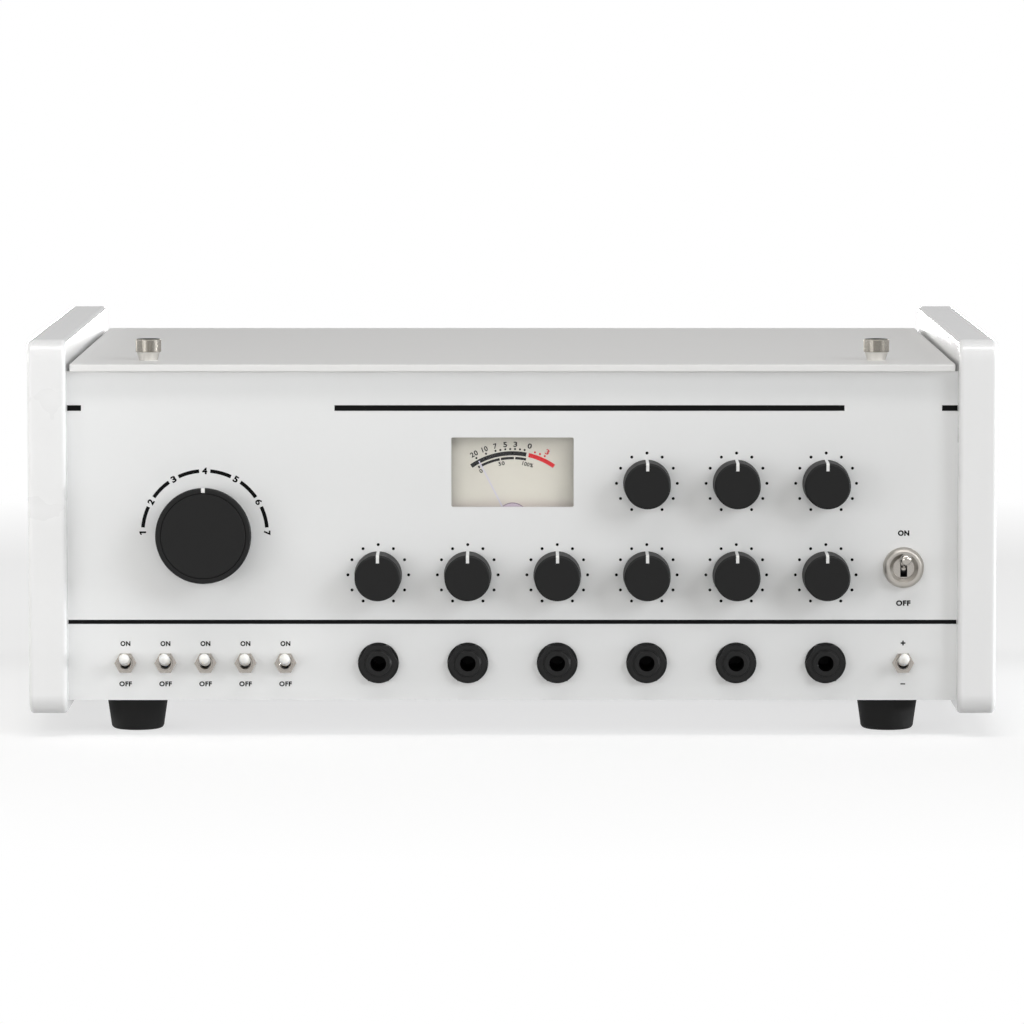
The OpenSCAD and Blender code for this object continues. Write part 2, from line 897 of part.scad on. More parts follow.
// Screws that hold the cheeks, the deck, the rear panel and the tape cover
module case_screws() {
  color("silver") {
    for (side = [-1, 1]) {
      at_cheek_screws(side)
        mirror([0, 0, 1])
          screw(sheet_t + screw_bite);
      at_deck_screws(side)
        mirror([0, 0, 1])
          screw(deck_t + sheet_t);
    }
    at_rear_screws()
      screw(2 * sheet_t + 1);
    at_cover_posts()
      translate([0, 0, chamber_h + cover_t])
        screw(cover_t + cover_screw_bite);
  }
}

// ---------------------------------------------------------------- knobs and their controls

// A knob with its shaft, seen from its foot: hollow underneath, with a cut for the pointer
module knob() {
  foot = knob_d / 2;
  face = knob_face_d / 2;
  color("#232323")
    difference() {
      rotate_extrude()
        polygon([
          [0, -panel_t - shaft_tail], [shaft_d / 2, -panel_t - shaft_tail],
          [shaft_d / 2, knob_lift + knob_hollow_h], [knob_hollow_r, knob_lift + knob_hollow_h],
          [knob_hollow_r, knob_lift], [foot, knob_lift],
          [face, knob_h - knob_edge], [face - knob_edge, knob_h], [0, knob_h]
        ]);
      translate([-pointer_w / 2, face - pointer_l, knob_h - pointer_cut])
        cube([pointer_w, pointer_l + cut, pointer_cut + cut]);
      translate([-pointer_w / 2, face - pointer_cut, knob_lift - cut])
        cube([pointer_w, foot, knob_h + cut]);
    }
}

module low_knob(i) {
  on_panel(knob_x(i), knob_row_low)
    knob();
}

module top_knob(i) {
  on_panel(knob_x(top_first + i), knob_row_top)
    knob();
}

// The selector knob, wider at its face than at its foot, with a turned ring near its rim
module mode_knob() {
  face = mode_d / 2;
  foot = mode_foot_d / 2;
  groove = face - mode_groove_in;
  color("#232323")
    on_panel(mode_x, mode_z)
      difference() {
        rotate_extrude()
          polygon([
            [0, -panel_t - shaft_tail], [shaft_d / 2, -panel_t - shaft_tail],
            [shaft_d / 2, knob_lift + knob_hollow_h],
            [foot - mode_wall, knob_lift + knob_hollow_h], [foot - mode_wall, knob_lift],
            [foot, knob_lift], [face, mode_h - mode_rim_h], [face, mode_h - mode_edge],
            [face - mode_edge, mode_h], [groove, mode_h],
            [groove - mode_groove_w / 2, mode_h - pointer_cut],
            [groove - mode_groove_w, mode_h], [0, mode_h]
          ]);
        translate([-mode_pointer.x / 2, face - mode_pointer.y, mode_h - pointer_cut])
          cube([mode_pointer.x, mode_pointer.y + cut, pointer_cut + cut]);
      }
}

// A control behind the panel: a can, and a bushing through the panel with its nut in front
module control(can_r, can_h, bush_r) {
  difference() {
    union() {
      translate([0, 0, -panel_t - can_h])
        cylinder(h = can_h, r = can_r);
      translate([0, 0, -panel_t - cut])
        cylinder(h = panel_t + cut + bush_h, r = bush_r);
      cylinder(h = bush_nut_h, r = bush_r + bush_nut_wall, $fn = 6);
    }
    translate([0, 0, -panel_t - shaft_tail - 1])
      cylinder(h = shaft_tail + panel_t + bush_h + 2, r = shaft_d / 2 + run_gap);
  }
}

module control_pots() {
  color("silver") {
    at_low_knobs()
      control(pot_r, pot_h, shaft_d / 2 + bush_wall);
    at_top_knobs()
      control(pot_r, pot_h, shaft_d / 2 + bush_wall);
  }
}

module rotary_switch() {
  color("saddlebrown")
    on_panel(mode_x, mode_z)
      control(rotary_r, rotary_h, shaft_d / 2 + 2 * bush_wall);
}

// ---------------------------------------------------------------- toggle switches

module toggle_bodies() {
  color("firebrick")
    at_toggles()
      difference() {
        union() {
          translate([0, 0, -panel_t - toggle_body.z])
            block(toggle_body);
          translate([0, 0, -panel_t - cut])
            cylinder(h = panel_t + cut + toggle_bush_h, r = toggle_bush_d / 2);
        }
        translate([0, 0, toggle_pivot - 2 * toggle_ball_r])
          cylinder(h = 4 * toggle_ball_r + toggle_bush_h, r = toggle_bore_r);
        translate([0, 0, toggle_bush_h - toggle_bore_edge])
          cylinder(h = toggle_bore_edge + slip_gap, r1 = toggle_bore_r,
               r2 = toggle_bore_r + toggle_bore_edge + slip_gap);
      }
}

module toggle_nuts() {
  color("silver")
    at_toggles()
      difference() {
        cylinder(h = toggle_nut_h, r = toggle_nut_af / 2 / cos(30), $fn = 6);
        translate([0, 0, -cut])
          cylinder(h = toggle_nut_h + 2 * cut, r = toggle_bush_d / 2 + run_gap);
      }
}

// A bat lever that turns about the X axis through its ball
module bat_lever(length, tip_r, root_r, ball_r, throat) {
  rotate_extrude()
    intersection() {
      union() {
        circle(ball_r);
        polygon([
          [0, 0], [root_r, 0], [root_r, throat],
          [tip_r * 0.97, length - tip_r * 0.25], [0, length]
        ]);
        translate([0, length])
          circle(tip_r);
      }
      translate([0, -length])
        square([length, 3 * length]);
    }
}

module toggle_lever(x) {
  color("white")
    on_panel(x, socket_row)
      translate([0, 0, toggle_pivot])
        rotate([-toggle_tilt, 0, 0])
          bat_lever(toggle_l, toggle_tip_d / 2, toggle_root_r, toggle_ball_r,
               toggle_bush_h - toggle_pivot + 0.3);
}

module power_switch() {
  color("#202020")
    on_panel(power_x, power_z)
      difference() {
        union() {
          translate([0, 0, -panel_t - power_body.z])
            block(power_body);
          translate([0, 0, -panel_t - cut])
            cylinder(h = panel_t + cut + power_bush_h, r = power_bush_r);
        }
        translate([0, 0, power_pivot])
          sphere(power_ball_r + free_gap);
        translate([0, 0, power_pivot])
          block([power_slot.x, power_slot.y, power_bush_h - power_pivot + cut]);
      }
}

// The domed nut round the power lever
module power_nut() {
  outer = power_nut_d / 2;
  color("silver")
    on_panel(power_x, power_z)
      rotate_extrude()
        polygon([
          [power_bush_r + run_gap, 0], [outer, 0],
          for (a = [0 : 15 : 75])
            [outer - power_dome_in * (1 - cos(a)),
             power_nut_edge + (power_lip_h - power_nut_edge) * sin(a)],
          [outer - power_lip_in, power_lip_h],
          [power_bore_r, power_bush_h + 0.2], [power_bush_r + run_gap, power_bush_h + 0.1]
        ]);
}

module power_lever() {
  color("silver")
    on_panel(power_x, power_z)
      translate([0, 0, power_pivot])
        rotate([-power_tilt, 0, 0])
          bat_lever(power_l, power_tip_d / 2, power_stem_r, power_ball_r,
               power_bush_h - power_pivot + 2);
}

// ---------------------------------------------------------------- meter

module at_meter(z) {
  on_panel(meter_x, z)
    children();
}

module meter_case() {
  floor_depth = dial_depth + dial_t;
  color("#262626")
    union() {
      at_meter(meter_mid)
        difference() {
          translate([0, 0, -panel_t - meter_case_d])
            linear_extrude(meter_case_d)
              rounded_rect(meter_room_w + 2 * meter_wall, meter_room_h + 2 * meter_wall,
                    case_corner);
          translate([0, 0, -floor_depth])
            linear_extrude(floor_depth)
              rounded_rect(meter_room_w, meter_room_h, dial_corner);
        }
      at_meter(needle_z)
        translate([0, 0, -floor_depth - cut])
          cylinder(h = cut + dial_t + needle_off + hub_h, r = pin_r);
    }
}

module meter_dial() {
  color("ivory")
    difference() {
      union() {
        at_meter(meter_mid)
          translate([0, 0, -dial_depth - dial_t])
            linear_extrude(dial_t)
              rounded_rect(meter_room_w - 2 * slip_gap, meter_room_h - 2 * slip_gap, dial_corner);
        at_meter(needle_z + boss_up)
          translate([0, 0, -dial_depth - dial_t / 2])
            cylinder(h = boss_h + dial_t / 2, r = boss_r);
      }
      at_meter(needle_z)
        translate([0, 0, -dial_depth - dial_t - cut])
          cylinder(h = dial_t + boss_h + 2 * cut, r = pin_r + slip_gap);
    }
}

module meter_window() {
  color("lightcyan", 0.4)
    at_meter(meter_mid)
      translate([0, 0, -panel_t - window_t])
        linear_extrude(window_t)
          rounded_rect(meter_room_w - 2 * slip_gap, meter_room_h - 2 * slip_gap, dial_corner);
}

// The needle with its hub and a short tail, lying left of upright
module meter_needle() {
  color("#b9b4d8")
    at_meter(needle_z)
      rotate([0, 0, needle_rest])
        translate([0, 0, -dial_depth + needle_off])
          difference() {
            union() {
              cylinder(h = hub_h, r = hub_r);
              translate([-needle_w / 2, 0, hub_h / 2 - needle_t / 2])
                cube([needle_w, needle_l, needle_t]);
              translate([-needle_w, -hub_r - 1, hub_h / 2 - needle_t / 2])
                cube([2 * needle_w, hub_r + 1, needle_t]);
            }
            translate([0, 0, -cut])
              cylinder(h = hub_h + 2 * cut, r = pin_r + run_gap);
          }
}

// ---------------------------------------------------------------- jacks

module jack_bodies() {
  color("#1e1e1e")
    at_jacks()
      difference() {
        union() {
          translate([0, 0, -panel_t - jack_body.z])
            block(jack_body);
          rotate_extrude()
            polygon([
              [0, -panel_t - cut], [jack_nose_d / 2, -panel_t - cut],
              [jack_nose_d / 2, jack_nose_h - jack_nose_edge],
              [jack_nose_d / 2 - jack_nose_edge, jack_nose_h],
              [0, jack_nose_h]
            ]);
        }
        translate([0, 0, jack_nose_h - jack_bore_l])
          cylinder(h = jack_bore_l + cut, r = jack_bore_d / 2);
      }
}

module jack_nuts() {
  color("#1a1a1a")
    at_jacks()
      difference() {
        union() {
          cylinder(h = jack_washer_h, r = jack_washer_d / 2);
          cylinder(h = jack_washer_h + jack_nut_h, r = jack_nut_af / 2 / cos(30), $fn = 6);
        }
        translate([0, 0, -cut])
          cylinder(h = jack_washer_h + jack_nut_h + 2 * cut, r = jack_nose_d / 2 + run_gap);
      }
}

// ---------------------------------------------------------------- inside the chassis

// Boards behind the knobs, the jacks and the toggle switches
module control_boards() {
  x1 = knob_x(0) - board_margin;
  x2 = knob_x(top_first) - board_margin;
  x3 = knob_x(low_count - 1) + board_margin;
  color("darkgreen") {
    on_panel(0, 0)
      translate([0, 0, -panel_t - pot_h - board_t])
        linear_extrude(board_t)
          polygon([
            [x1, knob_row_low - board_margin], [x3, knob_row_low - board_margin],
            [x3, knob_row_top + board_margin], [x2, knob_row_top + board_margin],
            [x2, knob_row_low + board_margin], [x1, knob_row_low + board_margin]
          ]);
    on_panel((x1 + x3) / 2, socket_row)
      translate([0, 0, -panel_t - jack_body.z - board_t])
        block([x3 - x1, jack_body.y, board_t]);
    on_panel(mode_x, socket_row)
      translate([0, 0, -panel_t - toggle_body.z - board_t])
        block([toggle_count * toggle_pitch, toggle_body.y + 2 * toggle_board_margin, board_t]);
  }
}

module at_board_posts() {
  for (sx = [-1, 1], y = [board_post_in, main_board_d - board_post_in])
    translate([main_board_x + sx * (main_board_w / 2 - board_post_in), main_board_y + y, floor_z])
      children();
}

module main_board() {
  color("darkgreen")
    difference() {
      union() {
        translate([main_board_x, main_board_y + main_board_d / 2, floor_z + board_lift])
          block([main_board_w, main_board_d, board_t]);
        for (i = [0 : part_count - 1])
          translate([main_board_x + (i - (part_count - 1) / 2) * part_pitch,
               main_board_y + main_board_d / 2, floor_z + board_lift + board_t / 2]) {
            cylinder(h = capacitor_h, r = capacitor_r);
            for (sy = [-1, 1])
              translate([part_pitch / 2, sy * chip_y, 0])
                block(chip);
          }
      }
      at_board_posts()
        translate([0, 0, board_lift - cut])
          cylinder(h = board_t + 2 * cut, r = board_screw_r + slip_gap);
    }
}

module board_posts() {
  color("silver")
    at_board_posts() {
      cylinder(h = board_lift, r = board_post_r);
      translate([0, 0, board_lift - cut])
        cylinder(h = board_t + 2 * cut, r = board_screw_r);
      translate([0, 0, board_lift + board_t])
        cylinder(h = board_screw_head.y, r = board_screw_head.x);
    }
}

// Mains transformer: iron core, winding and mounting strap
module transformer() {
  color("dimgray")
    translate([core_x, core_y, floor_z]) {
      translate([0, 0, core_foot.z / 2])
        block(core);
      translate([0, 0, core_foot.z + (core.z - winding.z) / 2])
        block(winding);
      difference() {
        block(core_foot);
        for (sx = [-1, 1])
          translate([sx * (core_foot.x / 2 - core_hole_in), 0, -cut])
            cylinder(h = core_foot.z + 2 * cut, r = screw_r);
      }
    }
}

// Spring reverb tank: an open channel on its back, with the two transducer blocks inside
module reverb_tank() {
  color("lightslategray")
    translate([tank_x, tank_y, floor_z]) {
      difference() {
        block(tank);
        translate([0, 0, tank_wall])
          block([tank.x - 2 * tank_wall, tank.y - 2 * tank_wall, tank.z]);
      }
      for (sx = [-1, 1])
        translate([sx * (tank.x / 2 - transducer_inset), 0, tank_wall / 2]) {
          block(transducer);
          for (sy = [-1, 1])
            translate([-sx * transducer.x / 2, sy * tank_spring_y, tank_spring_z])
              rotate([0, -sx * 90, 0])
                cylinder(h = magnet_l, r = magnet_r);
        }
      for (sy = [-1, 1])
        translate([0, sy * tank_spring_y, tank_spring_z + tank_wall / 2])
          rotate([0, 90, 0])
            cylinder(h = tank.x - 2 * tank_spring_x, r = tank_spring_r, center = true);
    }
}

// Mains inlet with three pins in its socket, and a flange in front of the rear panel
module mains_inlet() {
  room = [inlet_room.x, inlet_room.y];
  color("#1b1b1b")
    on_rear(inlet_x, inlet_z) {
      difference() {
        union() {
          linear_extrude(inlet_plate.z)
            rounded_rect(inlet_plate.x, inlet_plate.y, inlet_corner);
          translate([0, 0, inlet_plate.z - inlet_room_d - inlet_back])
            linear_extrude(inlet_room_d + inlet_back / 2)
              rounded_rect(room.x + 2 * inlet_wall, room.y + 2 * inlet_wall, case_corner);
        }
        translate([0, 0, inlet_plate.z - inlet_room_d])
          linear_extrude(inlet_room_d + cut)
            rounded_rect(room.x, room.y, inlet_room_corner);
        for (sx = [-1, 1])
          translate([sx * inlet_screw_x, 0, -cut])
            cylinder(h = inlet_plate.z + 2 * cut, r = inlet_screw_r);
      }
      for (p = [[-inlet_pin_x, -inlet_pin_y], [inlet_pin_x, -inlet_pin_y], [0, inlet_pin_y]])
        translate([p.x, p.y, inlet_plate.z - inlet_room_d - cut])
          block([inlet_pin.x, inlet_pin.y, inlet_pin_l + cut]);
    }
}

module fuse_holder() {
  color("#1b1b1b")
    on_rear(fuse_x, inlet_z)
      difference() {
        rotate_extrude()
          polygon([
            [0, -fuse_l], [fuse_r - 1, -fuse_l], [fuse_r - 1, -fuse_thread_l],
            [fuse_r, -fuse_thread_l],
            [fuse_r, 0], [fuse_flange_r, 0], [fuse_flange_r, fuse_flange_h],
            [fuse_cap_r, fuse_flange_h + 0.4], [fuse_cap_r - 0.4, fuse_flange_h + fuse_cap_h],
            [0, fuse_flange_h + fuse_cap_h]
          ]);
        translate([0, 0, fuse_flange_h + fuse_cap_h - fuse_slot.z])
          block([fuse_slot.x, fuse_slot.y, fuse_slot.z + cut]);
      }
}

// ---------------------------------------------------------------- tape transport

// The deck: a plate with side flanges turned down, a front wall up to the front flange,
// the capstan's bearing and the pinch arm's post
module deck_plate() {
  depth = deck_back_y - deck_y + deck_t;
  color("gray")
    difference() {
      union() {
        translate([0, deck_back_y - depth / 2, deck_z - deck_t])
          block([deck_w, depth, deck_t]);
        for (sx = [-1, 1])
          translate([sx * (deck_w - deck_t) / 2, deck_back_y - depth / 2, deck_z - deck_side_h])
            block([deck_t, depth, deck_side_h]);
        translate([0, deck_y - deck_t / 2, deck_z - deck_t])
          block([deck_w - 2 * bend_r, deck_t, deck_drop - panel_t + deck_t]);
        on_deck(capstan_x, capstan_y)
          translate([0, 0, -deck_t - bearing_down])
            cylinder(h = bearing_down + deck_t + bearing_up, r = bearing_r);
        on_deck(arm_x, arm_y)
          rotate_extrude()
            polygon([
              [0, -deck_t / 2], [post_foot_r, -deck_t / 2], [post_foot_r, arm_z - slip_gap],
              [post_r, arm_z - slip_gap], [post_r, arm_z + arm_hub_h + 1],
              [0, arm_z + arm_hub_h + 1]
            ]);
      }
      on_deck(capstan_x, capstan_y)
        translate([0, 0, -deck_t - bearing_down - cut])
          cylinder(h = bearing_down + deck_t + bearing_up + 2 * cut, r = capstan_r + run_gap);
      for (side = [-1, 1])
        at_deck_screws(side)
          translate([0, 0, -cut])
            cylinder(h = deck_t + 2 * cut, r = screw_r + slip_gap);
    }
}

// The chamber: a tray with low walls, screw posts, and two gates in its front wall
module tape_chamber() {
  color("#303030")
    difference() {
      union() {
        on_deck(0, chamber_y)
          difference() {
            linear_extrude(chamber_h)
              rounded_rect(chamber_w, chamber_d, chamber_corner);
            translate([0, 0, chamber_floor])
              linear_extrude(chamber_h)
                rounded_rect(chamber_w - 2 * chamber_wall, chamber_d - 2 * chamber_wall,
                      chamber_corner - chamber_wall);
            for (sx = [-1, 1])
              translate([sx * fold_x, -chamber_d / 2, chamber_floor])
                block([gate_w, 3 * chamber_wall, chamber_h]);
          }
        at_cover_posts()
          cylinder(h = chamber_h, r = cover_post_r);
      }
      at_cover_posts()
        translate([0, 0, chamber_h - cover_screw_bite - cut])
          cylinder(h = cover_screw_bite + 2 * cut, r = screw_r + run_gap);
    }
}

module tape_cover() {
  color("lightblue", 0.35)
    difference() {
      on_deck(0, chamber_y)
        translate([0, 0, chamber_h])
          linear_extrude(cover_t)
            rounded_rect(chamber_w, chamber_d, chamber_corner);
      at_cover_posts()
        translate([0, 0, chamber_h - cut])
          cylinder(h = cover_t + 2 * cut, r = screw_r + slip_gap);
    }
}

// The endless loop: past the heads, round the guides and folded back and forth in the chamber
function run_x(i) = -fold_x + 2 * turn_r * i;
function turn_high(i) = fold_high + fold_wave * sin(i * fold_step_high);
function turn_low(i) = fold_low + fold_wave / 2 * (1 + sin(i * fold_step_low));
function run_start(i) = i == 0 || i == fold_count - 1 ? run_y + guide_turn
           : turn_low(i % 2 == 0 ? i - 1 : i);
function run_end(i) = turn_high(i % 2 == 0 ? i : i - 1);

// Tape on edge, with its lower edge at Z = 0, along a line from a to b
module tape_line(a, b) {
  d = b - a;
  translate([a.x, a.y, 0])
    rotate([0, 0, atan2(d.y, d.x)])
      translate([0, -tape_t / 2, 0])
        cube([norm(d), tape_t, tape_w]);
}

// Tape on edge along an arc round c
module tape_arc(c, r, from, sweep) {
  translate([c.x, c.y, 0])
    rotate([0, 0, from])
      rotate_extrude(angle = sweep)
        translate([r - tape_t / 2, 0])
          square([tape_t, tape_w]);
}

module tape_loop() {
  color("saddlebrown")
    translate([0, 0, deck_z + tape_z - tape_w / 2]) {
      tape_line([-guide_x, run_y], [guide_x, run_y]);
      tape_arc([-guide_x, run_y + guide_turn], guide_turn, 180, 90);
      tape_arc([guide_x, run_y + guide_turn], guide_turn, 270, 90);
      for (i = [0 : fold_count - 1])
        tape_line([run_x(i), run_start(i)], [run_x(i), run_end(i)]);
      for (i = [0 : 2 : fold_count - 2])
        tape_arc([run_x(i) + turn_r, turn_high(i)], turn_r, 0, 180);
      for (i = [1 : 2 : fold_count - 3])
        tape_arc([run_x(i) + turn_r, turn_low(i)], turn_r, 180, 180);
    }
}

// Posts with flanges above and below the tape, at the two ends of its straight run
module tape_guides() {
  low = tape_z - tape_w / 2 - free_gap;
  high = tape_z + tape_w / 2 + free_gap;
  color("silver")
    for (sx = [-1, 1])
      on_deck(sx * guide_x, run_y + guide_turn)
        rotate_extrude()
          polygon([
            [0, 0], [guide_flange_r, 0], [guide_flange_r, low], [guide_r, low],
            [guide_r, high], [guide_flange_r, high],
            [guide_flange_r, high + guide_flange_h], [0, high + guide_flange_h]
          ]);
}

// A head: a can with a rounded nose towards the tape, on a base plate
module tape_head() {
  color("silver") {
    linear_extrude(head_base.z + head_h) {
      translate([-head_w / 2, head_nose_r / 2])
        square([head_w, head_d - head_nose_r / 2]);
      intersection() {
        translate([0, head_nose_r])
          circle(head_nose_r);
        translate([-head_w / 2, 0])
          square([head_w, head_nose_r]);
      }
    }
    translate([0, head_base.y / 2 + 1, 0])
      block(head_base);
  }
}

module tape_heads() {
  for (i = [0 : head_count - 1])
    on_deck(playback_x - i * head_pitch, run_y + tape_t / 2 + run_gap)
      tape_head();
  for (x = [record_x, erase_x])
    on_deck(x, run_y + tape_t / 2 + run_gap)
      tape_head();
}

// The capstan with its flywheel under the deck
module capstan() {
  color("silver")
    translate([capstan_x, capstan_y, flywheel_z])
      difference() {
        rotate_extrude()
          polygon([
            [0, 0], [flywheel_hub_r, 0], [flywheel_hub_r, flywheel_web],
            [flywheel_r - flywheel_rim, flywheel_web], [flywheel_r - flywheel_rim, 0],
            [flywheel_r, 0], [flywheel_r, flywheel_h],
            [flywheel_r - flywheel_rim, flywheel_h],
            [flywheel_r - flywheel_rim, 2 * flywheel_web],
            [flywheel_hub_r, 2 * flywheel_web], [flywheel_hub_r, flywheel_h],
            [capstan_r, flywheel_h], [capstan_r, deck_z + capstan_top - flywheel_z - 1],
            [capstan_r - 1, deck_z + capstan_top - flywheel_z],
            [0, deck_z + capstan_top - flywheel_z]
          ]);
        for (a = [0 : 60 : 300])
          rotate([0, 0, a])
            translate([(flywheel_hub_r + flywheel_r - flywheel_rim) / 2, 0, -cut])
              cylinder(h = flywheel_h + 2 * cut, r = flywheel_hole_r);
      }
}

// The motor with its mounting plate, hung from the deck on three pillars
module motor() {
  color("darkslategray")
    translate([motor_x, capstan_y, motor_top])
      difference() {
        union() {
          translate([0, 0, -motor_h])
            cylinder(h = motor_h, r = motor_r);
          cylinder(h = motor_plate_t, r = motor_plate_r);
          for (a = [90, 180, 270])
            rotate([0, 0, a])
              translate([motor_post_at, 0, 0])
                cylinder(h = deck_z - deck_t - motor_top, r = motor_post_r);
        }
        translate([0, 0, -motor_shaft_l - cut])
          cylinder(h = motor_shaft_l + motor_plate_t + 2 * cut, r = motor_shaft_r + run_gap);
      }
}

// The motor's pulley and its shaft
module motor_pulley() {
  low = flywheel_z - motor_top + (flywheel_h - pulley_h) / 2;
  color("goldenrod")
    translate([motor_x, capstan_y, motor_top])
      rotate_extrude()
        polygon([
          [0, -motor_shaft_l], [motor_shaft_r, -motor_shaft_l], [motor_shaft_r, low],
          [pulley_r, low], [pulley_r, low + pulley_h], [0, low + pulley_h]
        ]);
}

// The outline round the flywheel's rim and the motor's pulley, at a distance from both
module belt_outline(off) {
  r1 = flywheel_r + off;
  r2 = pulley_r + off;
  a = acos((r1 - r2) / belt_span);
  polygon([
    for (k = [0 : belt_steps])
      r1 * [cos(180 + a + k * (360 - 2 * a) / belt_steps),
         sin(180 + a + k * (360 - 2 * a) / belt_steps)],
    for (k = [0 : belt_steps / 2])
      [-belt_span, 0] + r2 * [cos(180 - a + k * 4 * a / belt_steps),
                  sin(180 - a + k * 4 * a / belt_steps)]
  ]);
}

module drive_belt() {
  color("#181818")
    translate([capstan_x, capstan_y, flywheel_z + (flywheel_h - belt_w) / 2])
      linear_extrude(belt_w)
        difference() {
          belt_outline(free_gap + belt_t);
          belt_outline(free_gap);
        }
}

// The pinch arm: a flat arm with a hub on the deck's post, and a pin with a clip for the roller
module pinch_arm() {
  roller_at = [-arm_l, 0, 0];
  pin_h = arm_t + roller_h + 2 * free_gap;
  color("darkgray")
    on_deck(arm_x, arm_y)
      rotate([0, 0, -arm_angle])
        translate([0, 0, arm_z])
          difference() {
            union() {
              cylinder(h = arm_hub_h, r = arm_r);
              translate([-arm_l / 2, 0, 0])
                block([arm_l, 2 * arm_r, arm_t]);
              translate(roller_at) {
                cylinder(h = arm_t, r = arm_r);
                cylinder(h = pin_h + 1, r = roller_pin_r);
                translate([0, 0, pin_h])
                  cylinder(h = 1, r = roller_clip_r);
              }
            }
            translate([0, 0, -cut])
              cylinder(h = arm_hub_h + 2 * cut, r = post_r + run_gap);
          }
}

module pinch_roller() {
  color("#222222")
    on_deck(capstan_x, roller_y)
      translate([0, 0, arm_z + arm_t + free_gap])
        difference() {
          cylinder(h = roller_h, r = roller_r);
          translate([0, 0, -cut])
            cylinder(h = roller_h + 2 * cut, r = roller_pin_r + run_gap);
        }
}

// ---------------------------------------------------------------- output

left_cheek();
right_cheek();
chassis();
front_panel();
rear_panel();
lid();
thumbscrew_left();
thumbscrew_right();
lid_inserts();
feet();
foot_screws();
case_screws();
mode_knob();
low_knob(0);  // knob_low_1
low_knob(1);  // knob_low_2
low_knob(2);  // knob_low_3
low_knob(3);  // knob_low_4
low_knob(4);  // knob_low_5
low_knob(5);  // knob_low_6
top_knob(0);  // knob_top_1
top_knob(1);  // knob_top_2
top_knob(2);  // knob_top_3
control_pots();
rotary_switch();
toggle_bodies();
toggle_nuts();
toggle_lever(toggle_x(0));  // toggle_lever_1
toggle_lever(toggle_x(1));  // toggle_lever_2
toggle_lever(toggle_x(2));  // toggle_lever_3
toggle_lever(toggle_x(3));  // toggle_lever_4
toggle_lever(toggle_x(4));  // toggle_lever_5
toggle_lever(power_x);  // level_lever
power_switch();
power_nut();
power_lever();
meter_case();
meter_dial();
meter_needle();
meter_window();
jack_bodies();
jack_nuts();
control_boards();
main_board();
board_posts();
transformer();
reverb_tank();
mains_inlet();
fuse_holder();
deck_plate();
tape_chamber();
tape_cover();
tape_loop();
tape_heads();
tape_guides();
capstan();
motor();
motor_pulley();
drive_belt();
pinch_arm();
pinch_roller();
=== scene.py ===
"""Looks of a tape echo unit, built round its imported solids.

Metres, in the solids' own frame: +Z is up and the control panel faces -Y. Sizes named below are
written in millimetres and become metres through mm().
"""

import json
import math

import bmesh
import bpy
from mathutils import Matrix, Vector


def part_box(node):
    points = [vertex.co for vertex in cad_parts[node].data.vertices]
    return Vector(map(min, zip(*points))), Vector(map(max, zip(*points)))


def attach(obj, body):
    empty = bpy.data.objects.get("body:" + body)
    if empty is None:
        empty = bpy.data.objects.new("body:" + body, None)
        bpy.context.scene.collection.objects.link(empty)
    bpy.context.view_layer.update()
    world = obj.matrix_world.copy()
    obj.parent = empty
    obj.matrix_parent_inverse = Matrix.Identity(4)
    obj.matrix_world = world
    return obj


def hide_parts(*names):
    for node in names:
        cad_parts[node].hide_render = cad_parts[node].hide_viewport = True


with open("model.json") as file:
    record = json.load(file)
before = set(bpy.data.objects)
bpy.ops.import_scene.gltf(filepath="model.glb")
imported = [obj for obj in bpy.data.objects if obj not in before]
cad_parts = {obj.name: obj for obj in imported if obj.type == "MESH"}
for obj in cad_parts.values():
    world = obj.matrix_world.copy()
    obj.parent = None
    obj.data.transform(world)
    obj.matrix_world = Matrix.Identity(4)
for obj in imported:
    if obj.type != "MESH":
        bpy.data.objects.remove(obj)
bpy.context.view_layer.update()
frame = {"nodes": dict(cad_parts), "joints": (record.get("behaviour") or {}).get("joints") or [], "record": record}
nodes = frame["nodes"]


def mm(*values):
    """Millimetres as metres: one number, or a tuple of several."""
    if len(values) == 1:
        return values[0] * 0.001
    return tuple(v * 0.001 for v in values)


# ---------------------------------------------------------------- places read from the frame

PANEL_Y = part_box("front_panel")[0].y
CHEEK_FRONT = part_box("left_cheek")[0].y
LID_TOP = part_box("lid")[1].z
LOW_KNOBS = [f"knob_low_{i}" for i in range(1, 7)]
TOP_KNOBS = [f"knob_top_{i}" for i in range(1, 4)]
SMALL_LEVERS = [f"toggle_lever_{i}" for i in range(1, 6)] + ["level_lever"]


def centre(node):
    low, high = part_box(node)
    return (low + high) / 2


# ---------------------------------------------------------------- camera, light and floor

# The lens in millimetres of a 36 mm sensor; tilts in degrees, all other values up to the next
# heading in metres
CAMERA_LENS = 220.8
CAMERA_TILT = 4.93
CAMERA_AWAY = 2.6077
CAMERA_HEIGHT = 0.3199
CAMERA_SIDE = -0.00015
LAMPS_AIM = Vector((0, 0, 0.08))
